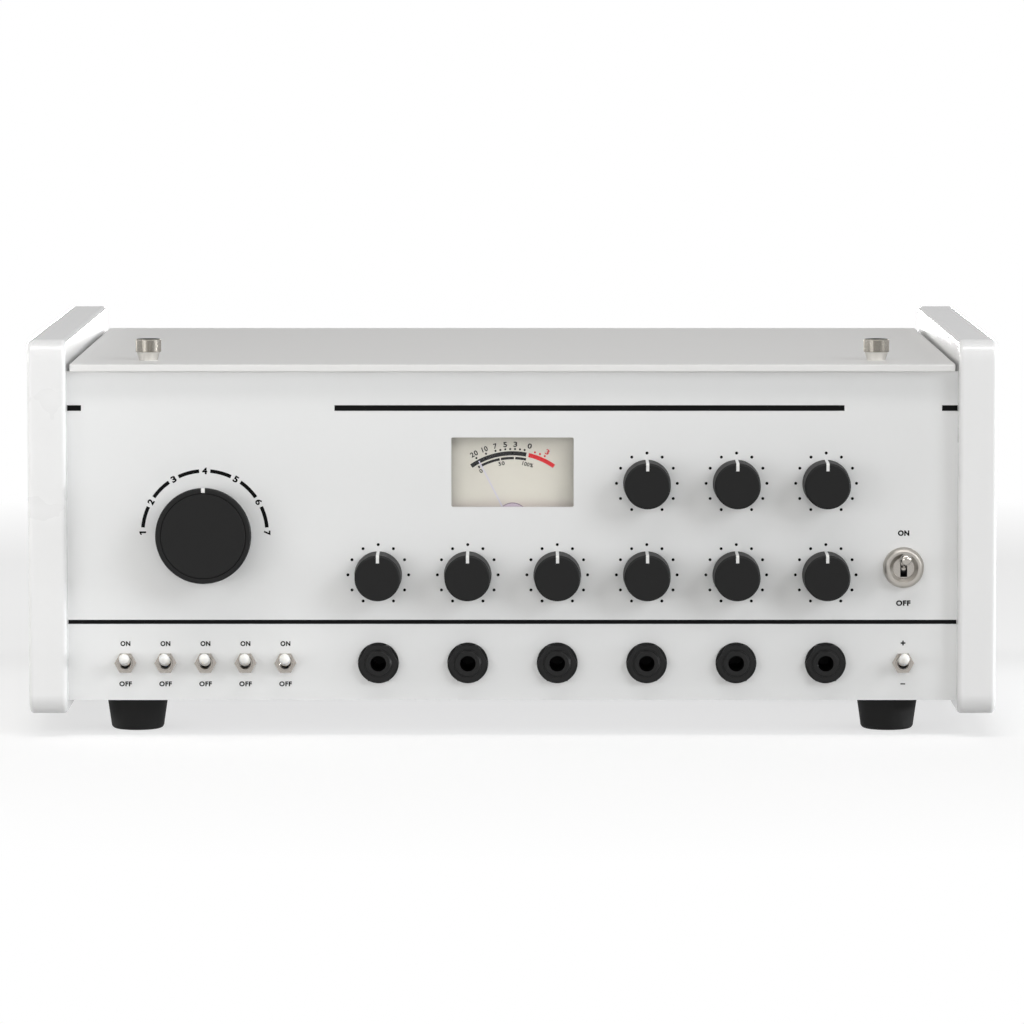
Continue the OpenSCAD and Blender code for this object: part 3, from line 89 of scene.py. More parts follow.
# Each lamp as make_lamp takes it. The front one isn't mirrored, so that the meter's window stays
# clear.
LAMPS = [
    ("key", 45, 25, 3.2, (1.3, 1.3), 0.27, (0.97, 0.985, 1.0)),
    ("overhead", 0, 70, 3.2, (3.0, 0.6), 0.38, (1.0, 0.99, 0.98)),
    ("front", 0, 3, 3.2, (2.6, 1.0), 0.31, (1.0, 0.99, 0.96), False),
    ("right", 78, 5, 3.2, (1.2, 1.6), 0.27, (0.95, 0.98, 1.0)),
    ("right_edge", 85, 0, 3.2, (0.4, 0.15), 0.34, (0.98, 0.99, 1.0)),
    ("right_back", 102, 5, 3.2, (1.2, 0.5), 0.1, (0.97, 0.985, 1.0)),
    ("left_near", -38, 3, 1.0, (0.5, 0.5), 0.2, (1.0, 1.0, 1.0)),
    ("left_close", -62, 4, 0.6, (0.25, 0.4), 0.05, (1.0, 1.0, 1.0)),
    ("left_top", -60, 43, 3.2, (1.0, 1.0), 0.07, (1.0, 0.99, 0.96)),
    ("left_back", -102, 5, 3.2, (1.2, 0.5), 0.28, (1.0, 0.985, 0.95)),
    ("rear", 180, 0, 3.2, (2.4, 0.12), 0.4, (1.0, 1.0, 1.0)),
]
# Where the backdrop that glossy pieces see changes: from its front to its back strength along a
# direction's Y, and from its strength at the horizon to plain white along the direction's Z
HORIZON_Y = (-0.2, 0.4)
HORIZON_Z = (0.1, 0.6)
FLOOR_HALF = 60


def make_camera():
    data = bpy.data.cameras.new("camera")
    data.lens = CAMERA_LENS
    camera = bpy.data.objects.new("camera", data)
    camera.location = (CAMERA_SIDE, CHEEK_FRONT - CAMERA_AWAY, CAMERA_HEIGHT)
    camera.rotation_euler = (math.radians(90 - CAMERA_TILT), 0, 0)
    bpy.context.scene.collection.objects.link(camera)
    bpy.context.scene.camera = camera


def make_lamp(name, turn, rise, away, size, level, colour, mirrored=True):
    """A softbox at a turn to the right and a rise above the panel's middle, in degrees, and so
    many metres away. It adds level times its own colour to a white face turned towards it, and
    shiny faces see it if it is mirrored."""
    data = bpy.data.lights.new(name, "AREA")
    data.shape = "RECTANGLE"
    data.size, data.size_y = size
    data.energy = level * (math.pi * away) ** 2
    data.color = colour
    lamp = bpy.data.objects.new(name, data)
    flat = math.cos(math.radians(rise))
    way = Vector((flat * math.sin(math.radians(turn)), -flat * math.cos(math.radians(turn)),
                  math.sin(math.radians(rise))))
    lamp.location = LAMPS_AIM + way * away
    lamp.rotation_euler = (-way).to_track_quat("-Z", "Y").to_euler()
    lamp.visible_camera = False
    lamp.visible_glossy = mirrored
    bpy.context.scene.collection.objects.link(lamp)


def seen_straight(tree):
    """1 for rays that should see the white backdrop: camera, glossy and transmission rays."""
    path = tree.nodes.new("ShaderNodeLightPath")
    first = add_math(tree, "MAXIMUM", path.outputs["Is Camera Ray"], path.outputs["Is Glossy Ray"])
    return add_math(tree, "MAXIMUM", first, path.outputs["Is Transmission Ray"])


def make_world(level, mirrored_front, mirrored_back):
    """A white backdrop that lights the object by level. Glossy pieces see it darker towards the
    horizon, down to one strength in front of the object and another behind it."""
    world = bpy.data.worlds.new("studio")
    world.use_nodes = True
    bpy.context.scene.world = world
    tree = world.node_tree
    background = tree.nodes["Background"]
    background.inputs["Color"].default_value = (1, 1, 1, 1)
    coords = tree.nodes.new("ShaderNodeTexCoord")
    split = tree.nodes.new("ShaderNodeSeparateXYZ")
    tree.links.new(coords.outputs["Generated"], split.inputs[0])
    horizon = map_range(tree, split.outputs["Y"], mirrored_front, mirrored_back, *HORIZON_Y)
    mirrored = map_range(tree, split.outputs["Z"], horizon, 1.0, *HORIZON_Z)
    path = tree.nodes.new("ShaderNodeLightPath")
    seen = map_range(tree, path.outputs["Is Glossy Ray"], 1.0, mirrored)
    strength = map_range(tree, seen_straight(tree), level, seen)
    tree.links.new(strength, background.inputs["Strength"])


def make_floor(colour, lift, middle, clear_from, clear_to):
    """A pale floor that keeps the object's shadow and turns plain white away from its middle,
    which lies behind the object's."""
    bm = bmesh.new()
    bmesh.ops.create_grid(bm, x_segments=1, y_segments=1, size=FLOOR_HALF)
    floor = place_mesh("floor", bm)
    floor.location.y = middle
    material = bpy.data.materials.new("floor")
    material.use_nodes = True
    tree = material.node_tree
    shader = tree.nodes["Principled BSDF"]
    shader.inputs["Base Color"].default_value = (colour, colour, colour, 1)
    shader.inputs["Roughness"].default_value = 1
    shader.inputs["Specular IOR Level"].default_value = 0
    shader.inputs["Emission Color"].default_value = (1, 1, 1, 1)
    lifted = map_range(tree, seen_straight(tree), 0, lift)
    tree.links.new(lifted, shader.inputs["Emission Strength"])
    coords = tree.nodes.new("ShaderNodeTexCoord")
    away = tree.nodes.new("ShaderNodeVectorMath")
    away.operation = "LENGTH"
    tree.links.new(coords.outputs["Object"], away.inputs[0])
    white = tree.nodes.new("ShaderNodeEmission")
    mixed = tree.nodes.new("ShaderNodeMixShader")
    fade = map_range(tree, away.outputs["Value"], 0, 1, clear_from, clear_to)
    tree.links.new(add_math(tree, "MULTIPLY", fade, seen_straight(tree)), mixed.inputs["Fac"])
    tree.links.new(shader.outputs[0], mixed.inputs[1])
    tree.links.new(white.outputs[0], mixed.inputs[2])
    tree.links.new(mixed.outputs[0], tree.nodes["Material Output"].inputs["Surface"])
    floor.data.materials.append(material)


# ---------------------------------------------------------------- material nodes


def put(tree, value, socket):
    """Sets a socket to a plain value, or links another node's output to it."""
    if isinstance(value, bpy.types.NodeSocket):
        tree.links.new(value, socket)
    else:
        socket.default_value = value


def add_math(tree, operation, a, b):
    node = tree.nodes.new("ShaderNodeMath")
    node.operation = operation
    put(tree, a, node.inputs[0])
    put(tree, b, node.inputs[1])
    return node.outputs[0]


def map_range(tree, value, low, high, start=0.0, end=1.0):
    """low where value is start, high where it is end, and a straight line between."""
    node = tree.nodes.new("ShaderNodeMapRange")
    for name, item in (("Value", value), ("From Min", start), ("From Max", end), ("To Min", low),
                       ("To Max", high)):
        put(tree, item, node.inputs[name])
    return node.outputs["Result"]


def noise(tree, grain, detail=2.0, stretch=(1, 1, 1)):
    """Noise with features of about grain millimetres, longer along an axis whose stretch is
    over 1."""
    coords = tree.nodes.new("ShaderNodeTexCoord")
    mapping = tree.nodes.new("ShaderNodeMapping")
    mapping.inputs["Scale"].default_value = tuple(1 / s for s in stretch)
    texture = tree.nodes.new("ShaderNodeTexNoise")
    texture.inputs["Scale"].default_value = 1 / mm(grain)
    texture.inputs["Detail"].default_value = detail
    tree.links.new(coords.outputs["Object"], mapping.inputs["Vector"])
    tree.links.new(mapping.outputs["Vector"], texture.inputs["Vector"])
    return texture.outputs["Fac"]


def tint(tree, factor, dark, light):
    """A colour between two, each of them a triple or another node's output."""
    node = tree.nodes.new("ShaderNodeMix")
    node.data_type = "RGBA"
    for name, colour in (("A", dark), ("B", light)):
        if not isinstance(colour, bpy.types.NodeSocket):
            colour = (*colour, 1)
        put(tree, colour, node.inputs[name])
    tree.links.new(factor, node.inputs["Factor"])
    return node.outputs["Result"]


def bump(tree, height, depth, normal=None):
    """A relief of depth millimetres from a height of 0 to 1."""
    node = tree.nodes.new("ShaderNodeBump")
    node.inputs["Strength"].default_value = 1
    node.inputs["Distance"].default_value = mm(depth)
    tree.links.new(height, node.inputs["Height"])
    if normal:
        tree.links.new(normal, node.inputs["Normal"])
    return node.outputs["Normal"]


def soft_edge(tree, radius):
    node = tree.nodes.new("ShaderNodeBevel")
    node.samples = 6
    node.inputs["Radius"].default_value = mm(radius)
    return node.outputs["Normal"]


def finish(name, colour, vary=0.06, rough=(0.4, 0.5), grain=6, relief=(0.3, 0.004), metal=0.0,
           coat=0.0, coat_rough=0.05, edge=0.0, stretch=(1, 1, 1), **sockets):
    """A surface: its colour varies over patches of grain millimetres, with a fine relief of
    (grain, depth) millimetres, and its edges are rounded by edge millimetres in the shading.
    Other sockets are given by name, with an underscore for each space."""
    material = bpy.data.materials.new(name)
    material.use_nodes = True
    tree = material.node_tree
    shader = tree.nodes["Principled BSDF"]
    patches = noise(tree, grain, 4, stretch)
    dark = [c * (1 - vary) for c in colour]
    light = [min(1, c * (1 + vary)) for c in colour]
    tree.links.new(tint(tree, patches, dark, light), shader.inputs["Base Color"])
    tree.links.new(map_range(tree, patches, *rough), shader.inputs["Roughness"])
    normal = soft_edge(tree, edge) if edge else None
    fine = noise(tree, relief[0], 3, stretch)
    tree.links.new(bump(tree, fine, relief[1], normal), shader.inputs["Normal"])
    shader.inputs["Metallic"].default_value = metal
    shader.inputs["Coat Weight"].default_value = coat
    shader.inputs["Coat Roughness"].default_value = coat_rough
    for socket, value in sockets.items():
        shader.inputs[socket.replace("_", " ")].default_value = value
    return material


def by_place(name, axis, limit, near, far, blend=0.02, relief=(0.3, 0.003)):
    """A surface that is near up to a limit in metres along an axis of the object, and far beyond
    it, blended over so many millimetres on both sides. Both are (colour, roughness, metal)."""
    material = bpy.data.materials.new(name)
    material.use_nodes = True
    tree = material.node_tree
    shader = tree.nodes["Principled BSDF"]
    coords = tree.nodes.new("ShaderNodeTexCoord")
    split = tree.nodes.new("ShaderNodeSeparateXYZ")
    tree.links.new(coords.outputs["Object"], split.inputs[0])
    past = map_range(tree, split.outputs[axis], 0, 1, limit - mm(blend), limit + mm(blend))
    patches = noise(tree, 4, 3)
    shades = [tint(tree, patches, [c * 0.94 for c in look[0]], look[0]) for look in (near, far)]
    tree.links.new(tint(tree, past, *shades), shader.inputs["Base Color"])
    tree.links.new(map_range(tree, past, near[1], far[1]), shader.inputs["Roughness"])
    tree.links.new(map_range(tree, past, near[2], far[2]), shader.inputs["Metallic"])
    tree.links.new(bump(tree, noise(tree, relief[0], 3), relief[1]), shader.inputs["Normal"])
    return material


def clear(name, colour, shadow):
    """Thin clear plastic: glossy, see-through, and it lets most light pass."""
    material = bpy.data.materials.new(name)
    material.use_nodes = True
    tree = material.node_tree
    output = tree.nodes["Material Output"]
    shader = tree.nodes["Principled BSDF"]
    shader.inputs["Transmission Weight"].default_value = 1
    shader.inputs["IOR"].default_value = 1.3
    smear = noise(tree, 14, 3)
    tree.links.new(map_range(tree, smear, 0.0, 0.015), shader.inputs["Roughness"])
    tree.links.new(tint(tree, smear, colour, (1, 1, 1)), shader.inputs["Base Color"])
    see = tree.nodes.new("ShaderNodeBsdfTransparent")
    see.inputs["Color"].default_value = (shadow, shadow, shadow, 1)
    path = tree.nodes.new("ShaderNodeLightPath")
    mixed = tree.nodes.new("ShaderNodeMixShader")
    tree.links.new(path.outputs["Is Shadow Ray"], mixed.inputs["Fac"])
    tree.links.new(shader.outputs[0], mixed.inputs[1])
    tree.links.new(see.outputs[0], mixed.inputs[2])
    tree.links.new(mixed.outputs[0], output.inputs["Surface"])
    return material


# ---------------------------------------------------------------- mesh helpers

# Turns a drawing (X right, Y up, Z towards the viewer) into the upright panel's frame
UPRIGHT = Matrix.Rotation(math.radians(90), 4, "X")


def place_mesh(name, bm):
    mesh = bpy.data.meshes.new(name)
    bm.to_mesh(mesh)
    bm.free()
    piece = bpy.data.objects.new(name, mesh)
    bpy.context.scene.collection.objects.link(piece)
    return piece


def add_piece(name, bm, body, material, matrix=None):
    """Makes a piece of the object from bm, which holds metres."""
    bmesh.ops.recalc_face_normals(bm, faces=bm.faces)
    if matrix:
        bm.transform(matrix)
    piece = place_mesh(name, bm)
    piece.data.materials.append(material)
    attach(piece, body)
    return piece


def add_prism(bm, outline, low, high):
    """A closed prism over an outline in the drawing, from height low to high, all millimetres."""
    rings = [[bm.verts.new(mm(x, y, z)) for x, y in outline] for z in (low, high)]
    bm.faces.new(rings[0][::-1])
    bm.faces.new(rings[1])
    count = len(outline)
    for i in range(count):
        j = (i + 1) % count
        bm.faces.new((rings[0][i], rings[0][j], rings[1][j], rings[1][i]))


def rectangle(x0, y0, x1, y1):
    return [(x0, y0), (x1, y0), (x1, y1), (x0, y1)]


def polar(radius, angle, cx=0.0, cy=0.0):
    """A point at an angle clockwise from straight up, in degrees."""
    a = math.radians(angle)
    return (cx + radius * math.sin(a), cy + radius * math.cos(a))


def disc(radius, cx=0.0, cy=0.0, steps=24):
    return [polar(radius, 360 * i / steps, cx, cy) for i in range(steps)]


def band(radius, width, start, end, steps=16):
    """The outline of a band along an arc."""
    angles = [start + (end - start) * i / steps for i in range(steps + 1)]
    outer = [polar(radius + width / 2, a) for a in angles]
    inner = [polar(radius - width / 2, a) for a in reversed(angles)]
    return outer + inner


# ---------------------------------------------------------------- materials


def ink(name, colour, rough, **sockets):
    return finish(name, colour, rough=rough, grain=2, relief=(0.1, 0.001), **sockets)


INK = ink("ink", (0.004, 0.004, 0.004), (0.6, 0.75), Specular_IOR_Level=0.08)
INK_RED = ink("ink_red", (0.52, 0.012, 0.018), (0.6, 0.75), Specular_IOR_Level=0.1)
INK_WHITE = ink("ink_white", (0.80, 0.80, 0.79), (0.4, 0.55))

NICKEL = (0.43, 0.40, 0.365)
CHROME = (0.46, 0.435, 0.40)
DULL_BLACK = (0.007, 0.007, 0.007)
RED = (0.42, 0.04, 0.035)
# How far above its lower edge the dial's painted reflection reaches, darker and pinker below and paler above, and
# over how much on both sides
DIAL_REFLECTION_TOP = 13
DIAL_BLEND = 3.5

LOOKS = {
    "cheek_lacquer": finish("cheek_lacquer", (0.86, 0.86, 0.86), 0.01, (0.25, 0.33), 40,
                            (9, 0.003), coat=0.5, coat_rough=0.04, edge=0.6),
    "panel_paint": finish("panel_paint", (0.845, 0.85, 0.85), 0.01, (0.42, 0.5), 25, (0.7, 0.006),
                          Specular_IOR_Level=0.3),
    "lid_paint": finish("lid_paint", (0.845, 0.84, 0.83), 0.012, (0.42, 0.52), 20, (0.7, 0.008),
                        Specular_IOR_Level=0.3, edge=0.3),
    "plated_steel": finish("plated_steel", (0.5, 0.5, 0.51), 0.12, (0.28, 0.45), 18, (1.2, 0.004),
                           metal=1, edge=0.2),
    "nickel": finish("nickel", NICKEL, 0.06, (0.16, 0.26), 3, (0.25, 0.002), metal=1, edge=0.2),
    "chrome": finish("chrome", CHROME, 0.04, (0.06, 0.12), 6, (2, 0.003), metal=1, edge=0.1),
    "knob_black": finish("knob_black", DULL_BLACK, 0.12, (0.5, 0.6), 4, (0.12, 0.004), edge=0.25,
                         Specular_IOR_Level=0.22),
    "lever_white": finish("lever_white", (0.88, 0.87, 0.84), 0.02, (0.22, 0.32), 4, (0.6, 0.003),
                          coat=0.3, Subsurface_Weight=1.0, Subsurface_Radius=(1.0, 0.97, 0.9),
                          Subsurface_Scale=mm(3)),
    "black_plastic": finish("black_plastic", (0.008, 0.008, 0.008), 0.15, (0.4, 0.5), 5,
                            (0.2, 0.004), edge=0.25, Specular_IOR_Level=0.25),
    "switch_red": finish("switch_red", RED, 0.1, (0.35, 0.5), 4, (0.3, 0.004), edge=0.3),
    "phenolic_brown": finish("phenolic_brown", (0.23, 0.12, 0.05), 0.25, (0.4, 0.6), 3,
                             (0.3, 0.01), stretch=(3, 1, 1)),
    "foot_rubber": finish("foot_rubber", (0.014, 0.014, 0.014), 0.2, (0.6, 0.8), 3, (0.25, 0.015),
                          Specular_IOR_Level=0.2),
    "circuit_board": finish("circuit_board", (0.02, 0.13, 0.06), 0.25, (0.25, 0.4), 5,
                            (0.8, 0.01)),
    "core_iron": finish("core_iron", (0.11, 0.11, 0.12), 0.3, (0.4, 0.65), 4, (0.5, 0.03),
                        stretch=(8, 8, 0.5)),
    "deck_aluminium": finish("deck_aluminium", (0.6, 0.6, 0.61), 0.08, (0.3, 0.42), 9,
                             (0.35, 0.004), metal=1, stretch=(14, 1, 1), edge=0.2),
    "flywheel_steel": finish("flywheel_steel", (0.52, 0.52, 0.53), 0.08, (0.18, 0.3), 6,
                             (0.3, 0.003), metal=1, edge=0.2),
    "pulley_brass": finish("pulley_brass", (0.66, 0.45, 0.18), 0.08, (0.18, 0.32), 4,
                           (0.3, 0.003), metal=1, edge=0.2),
    "clear_window": clear("clear_window", (0.97, 0.98, 0.98), 0.95),
    # The dial's lower part is a painted reflection: darker and pinker than the cream above it
    "dial_cream": by_place("dial_cream", "Z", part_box("meter_dial")[0].z + mm(DIAL_REFLECTION_TOP),
                           ((0.46, 0.39, 0.37), 0.6, 0.0), ((0.52, 0.495, 0.435), 0.6, 0.0),
                           DIAL_BLEND),
    "needle_lavender": finish("needle_lavender", (0.44, 0.42, 0.53), 0.05, (0.35, 0.5), 2,
                              (0.2, 0.002)),
    "tape_brown": finish("tape_brown", (0.075, 0.04, 0.025), 0.15, (0.2, 0.35), 6, (0.4, 0.003),
                         stretch=(1, 1, 4)),
}

# How far the metal of the small switches reaches behind the panel's face, and the metal of the
# power switch and of its lever behind the switch's front. Deeper, the lever's chrome ball is painted black as
# painted shade in the slot.
TOGGLE_METAL = 1.5
POWER_METAL = 0.15
LEVER_METAL = 1.1
POWER_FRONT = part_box("power_switch")[0].y
# Nodes with a look of their own
OWN_LOOKS = {
    "toggle_bodies": by_place("toggle_metal_and_red", "Y", PANEL_Y + mm(TOGGLE_METAL),
                              (NICKEL, 0.2, 1.0), (RED, 0.4, 0.0)),
    "power_switch": by_place("power_metal_and_black", "Y", POWER_FRONT + mm(POWER_METAL),
                             (CHROME, 0.25, 1.0), (DULL_BLACK, 0.5, 0.0)),
    # The lever's chrome ball deep in the slot is painted black, as painted shade
    "power_lever": by_place("lever_metal_and_black", "Y", POWER_FRONT + mm(LEVER_METAL),
                            (CHROME, 0.12, 1.0), (DULL_BLACK, 0.5, 0.0), 0.1),
    "power_nut": finish("satin_nut", CHROME, 0.05, (0.34, 0.42), 6, (0.3, 0.003), metal=1,
                        edge=0.2),
}


def dress_nodes():
    """Gives each node of the frame the look of its slot."""
    for part in frame["record"]["subparts"]:
        piece = nodes[part["node"]]
        piece.data.materials.clear()
        look = OWN_LOOKS.get(part["node"], LOOKS[part["material_slot"]])
        piece.data.materials.append(look)


# ---------------------------------------------------------------- print on the front panel

# How far print stands above its surface and reaches below it
PRINT_UP = 0.04
PRINT_DOWN = 0.15
# Height of the font's size for a capital letter of height 1, and the letters' spacing
FONT_SIZE = 1.37
LETTER_SPACE = 1.12


def on_panel(x=0.0, z=0.0):
    """The drawing's frame on the panel's face; x and z in metres."""
    return Matrix.Translation((x, PANEL_Y, z)) @ UPRIGHT


def print_outlines(name, outlines, matrix, material=INK, body="root"):
    bm = bmesh.new()
    for outline in outlines:
        add_prism(bm, outline, -PRINT_DOWN, PRINT_UP)
    return add_piece(name, bm, body, material, matrix)


def print_words(name, words, matrix, material=INK, bold=0.0):
    """Letters or numbers printed as one piece. Each word is (text, height, width, x, y, turn) in
    millimetres and degrees clockwise, with its middle at x, y. Bold widens each stroke."""
    bm = bmesh.new()
    for text, height, width, x, y, turn in words:
        curve = bpy.data.curves.new("word", "FONT")
        curve.body = text
        curve.size = mm(height) * FONT_SIZE
        curve.offset = mm(bold)
        curve.space_character = LETTER_SPACE
        curve.extrude = mm(PRINT_UP + PRINT_DOWN) / 2
        word = bpy.data.objects.new("word", curve)
        mesh = bpy.data.meshes.new_from_object(word)
        low, high = ([pick(v.co[i] for v in mesh.vertices) for i in (0, 1)] for pick in (min, max))
        size = [high[i] - low[i] for i in (0, 1)]
        # A minus sign keeps its own height
        grow = (mm(width) / size[0], mm(height) / size[1] if size[1] > mm(height) / 2 else 1, 1, 1)
        place = (Matrix.Translation(mm(x, y, (PRINT_UP - PRINT_DOWN) / 2))
                 @ Matrix.Rotation(math.radians(-turn), 4, "Z")
                 @ Matrix.Diagonal(grow)
                 @ Matrix.Translation((-(low[0] + high[0]) / 2, -(low[1] + high[1]) / 2, 0)))
        mesh.transform(place)
        bm.from_mesh(mesh)
        bpy.data.objects.remove(word)
        bpy.data.curves.remove(curve)
        bpy.data.meshes.remove(mesh)
    bmesh.ops.remove_doubles(bm, verts=bm.verts, dist=1e-7)
    return add_piece(name, bm, "root", material, matrix)


PANEL_HALF = 185.9
# Height above the floor, width and spans of each printed line
LINE_HIGH = (137.83, 2.35, [(-PANEL_HALF, -180.07), (-74.25, 138.66), (179.36, PANEL_HALF)])
LINE_LOW = (48.11, 1.75, [(-PANEL_HALF, PANEL_HALF)])


def print_lines():
    lines = [rectangle(start, z - width / 2, end, z + width / 2)
             for z, width, spans in (LINE_HIGH, LINE_LOW) for start, end in spans]
    print_outlines("print_lines", lines, on_panel())


DOT_RING = 12.7
DOT_R = 0.63
DOT_ANGLES = range(-150, 180, 30)


def print_dots():
    for row, knobs in (("low", LOW_KNOBS), ("top", TOP_KNOBS)):
        dots = []
        for knob in knobs:
            x, z = centre(knob).x * 1000, centre(knob).z * 1000
            dots += [disc(DOT_R, *polar(DOT_RING, angle, x, z), 16) for angle in DOT_ANGLES]
        print_outlines(f"print_dots_{row}", dots, on_panel())


MODE_RING = 26.0
MODE_RING_W = 1.52
MODE_GAP = 5.1
MODE_START = -90
MODE_STEP = 30
# The numeral one, with its middle at the origin
MODE_ONE = [(-0.1, -1.4), (0.65, -1.4), (0.65, 1.4), (0.1, 1.4), (-0.8, 0.95), (-0.8, 0.25),
            (-0.1, 0.6)]
MODE_CAP = 2.8
# The width of each numeral that is printed with the font
MODE_WIDTHS = {2: 2.05, 3: 2.05, 4: 2.2, 5: 2.05, 6: 2.15, 7: 1.95}
MODE_BOLD = 0.18
# The six closes up if its strokes are widened as much as the others'
SIX_BOLD = 0.1


def print_mode_scale():
    c = centre("mode_knob")
    matrix = on_panel(c.x, c.z)
    starts = range(MODE_START, -MODE_START, MODE_STEP)
    arcs = [band(MODE_RING, MODE_RING_W, a + MODE_GAP, a + MODE_STEP - MODE_GAP) for a in starts]
    # The one lies on its side at the ring's left end
    one = [(-MODE_RING - y, x) for x, y in MODE_ONE]
    print_outlines("print_mode_arcs", arcs + [one], matrix)
    words = {}
    for number, width in MODE_WIDTHS.items():
        turn = MODE_START + MODE_STEP * (number - 1)
        words[number] = (str(number), MODE_CAP, width, *polar(MODE_RING, turn), turn)
    six = words.pop(6)
    print_words("print_mode_numbers", words.values(), matrix, bold=MODE_BOLD)
    print_words("print_mode_six", [six], matrix, bold=SIX_BOLD)


# The words above and below a switch, their capitals' height, their widths, how high they stand
# above the floor, and how far their strokes are widened
SMALL_MARKS = (("ON", "OFF"), 2.1, (4.15, 5.25), (38.95, 22.0), 0.125)
LEVEL_MARKS = (("+", "-"), 2.0, (2.0, 2.0), (39.2, 22.0), 0.13)
POWER_MARKS = (("ON", "OFF"), 2.35, (4.75, 6.05), (85.4, 56.0), 0.165)


def print_switch_marks():
    """ON above and OFF below each switch, and plain signs at the level switch."""
    for lever in SMALL_LEVERS + ["power_lever"]:
        marks = {"power_lever": POWER_MARKS, "level_lever": LEVEL_MARKS}.get(lever, SMALL_MARKS)
        texts, cap, widths, heights, bold = marks
        x = centre(lever).x * 1000
        words = [(text, cap, width, x, z, 0) for text, width, z in zip(texts, widths, heights)]
        print_words("print_" + lever, words, on_panel(), bold=bold)


# ---------------------------------------------------------------- pointers on the knobs

# A knob's radii at its foot and face, the height of its face and of its foot, and its rounding
KNOB = {"foot": 9.95, "face": 9.6, "height": 16, "lift": 0.8, "edge": 0.7}
POINTER_W = 1.28
POINTER_L = 3.3
# How deep an inlay's groove is, and how far the inlay stays below the knob's surface
POINTER_CUT = 0.4
POINTER_SUNK = 0.03
# Turns a section (radius, height) so that it stands on the panel, its radius straight up
SECTION = Matrix(((0, 0, 1, 0), (1, 0, 0, 0), (0, 1, 0, 0), (0, 0, 0, 1)))


def add_inlay(name, knob, side, width):
    """A white inlay of a knob, pointing straight up, from its section (radius, height)."""
    bm = bmesh.new()
    add_prism(bm, side, -width / 2, width / 2)
    c = centre(knob)
    add_piece(name, bm, knob, INK_WHITE, on_panel(c.x, c.z) @ SECTION)


def add_pointer(knob):
    """The white inlay in a knob's groove, over its face and down its side."""
    face, height, edge = KNOB["face"], KNOB["height"], KNOB["edge"]
    low = height - POINTER_CUT
    high = height - POINTER_SUNK
    side = [(face - POINTER_L, low), (face - POINTER_CUT, low),
            (face - POINTER_CUT, KNOB["lift"]), (KNOB["foot"] - POINTER_SUNK, KNOB["lift"]),
            (face - POINTER_SUNK, height - edge), (face - edge, high), (face - POINTER_L, high)]
    add_inlay(f"pointer_{knob}", knob, side, POINTER_W)


# The selector's radius and height, how far its inlay runs down the rim, the inlay's width and
# length, and its chamfer along the face and down the rim
MODE = {"face": 19.95, "height": 16, "rim": 3.0, "width": 1.51, "length": 1.8,
        "edge": (0.4, 0.45)}


def add_mode_pointer():
    """The white inlay in the selector's notch, over its face and down its rim."""
    face, height, length = MODE["face"], MODE["height"], MODE["length"]
    along, down = MODE["edge"]
    low = height - POINTER_CUT
    high = height - POINTER_SUNK
    side = [(face - length, low), (face - POINTER_CUT, low),
            (face - POINTER_CUT, height - MODE["rim"]), (face, height - MODE["rim"]),
            (face, height - down), (face - along, high), (face - length, high)]
    add_inlay("pointer_mode", "mode_knob", side, MODE["width"])


# ---------------------------------------------------------------- levers of the small switches

# Section of a black tube in a bushing's bore, painted shade on the bore's wall, as radius and distance in front of
# the panel
BORE_SHADE = [(2.0, -5.0), (2.15, -5.0), (2.15, 2.3), (2.0, 2.3)]
# How far the pivot lies in front of the panel, and the lever's tilt upwards at rest
TOGGLE_PIVOT = -1.7
TOGGLE_TILT = 12.5
# Radius of the ball at the pivot
BALL = 1.7
# Radius and distance from the pivot along the white bat, and the ball that ends it
BAT = [(0.9, 4.3), (1.4, 4.8), (2.05, 5.2), (2.3, 5.9), (2.28, 7.2), (2.2, 9.4), (2.15, 11.6)]
BAT_TIP = 2.15
BAT_LENGTH = 13.0


def joint_place(name):
    """Where a joint's axis passes through its piece."""
    return Vector(next(j for j in frame["joints"] if j["name"] == name)["pos_m"])


def add_turned(bm, profile, closed, steps=32):
    """A body of revolution about the drawing's Z axis from (radius, height) points in millimetres.
    A closed profile is a ring's section; another one runs from the lower cap to the upper."""
    rings = [[bm.verts.new(mm(*polar(r, 360 * i / steps), z)) for i in range(steps)]
             for r, z in profile]
    for low, high in zip(rings, rings[1:] + (rings[:1] if closed else [])):
        for i in range(steps):
            j = (i + 1) % steps
            bm.faces.new((low[i], low[j], high[j], high[i]))
    if not closed:
        bm.faces.new(rings[0])
        bm.faces.new(rings[-1])


def add_bat(lever):
    """A small switch's white bat lever, fuller than its solid, and a black tube round it that paints the bore's
    shade.
    """
    axis = joint_place(lever.replace("_lever", "") + "_tilt")
    bm = bmesh.new()
    add_turned(bm, BORE_SHADE, True)
    add_piece(f"bore_shade_{lever}", bm, "root", LOOKS["black_plastic"],
              on_panel(axis.x, axis.z))
    # Both balls are drawn from their lower end upwards
    ball = [polar(BALL, a) for a in range(175, 31, -12)]
    tip = [polar(BAT_TIP, a, 0, BAT_LENGTH) for a in range(90, 2, -11)]
    bm = bmesh.new()
    add_turned(bm, ball + BAT + tip, False)
    matrix = (on_panel(axis.x, axis.z) @ Matrix.Translation((0, 0, mm(TOGGLE_PIVOT)))
              @ Matrix.Rotation(math.radians(-TOGGLE_TILT), 4, "X"))
    piece = add_piece(f"bat_{lever}", bm, lever, LOOKS["lever_white"], matrix)
    piece.data.shade_smooth()
    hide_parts(lever)


# ---------------------------------------------------------------- knurled thumbscrews

# Radii of the head, of the cone's foot and of the shank; heights above the lid of the cone, of
# the painted highlight and of the head; how far the shank reaches below the lid; and the chamfers
THUMB = {"head": 5.4, "neck": 3.8, "shank": 2.0, "cone": 3.3, "bright": 3.5, "height": 8.9,
         "reach": 11.0, "edge": 0.4}
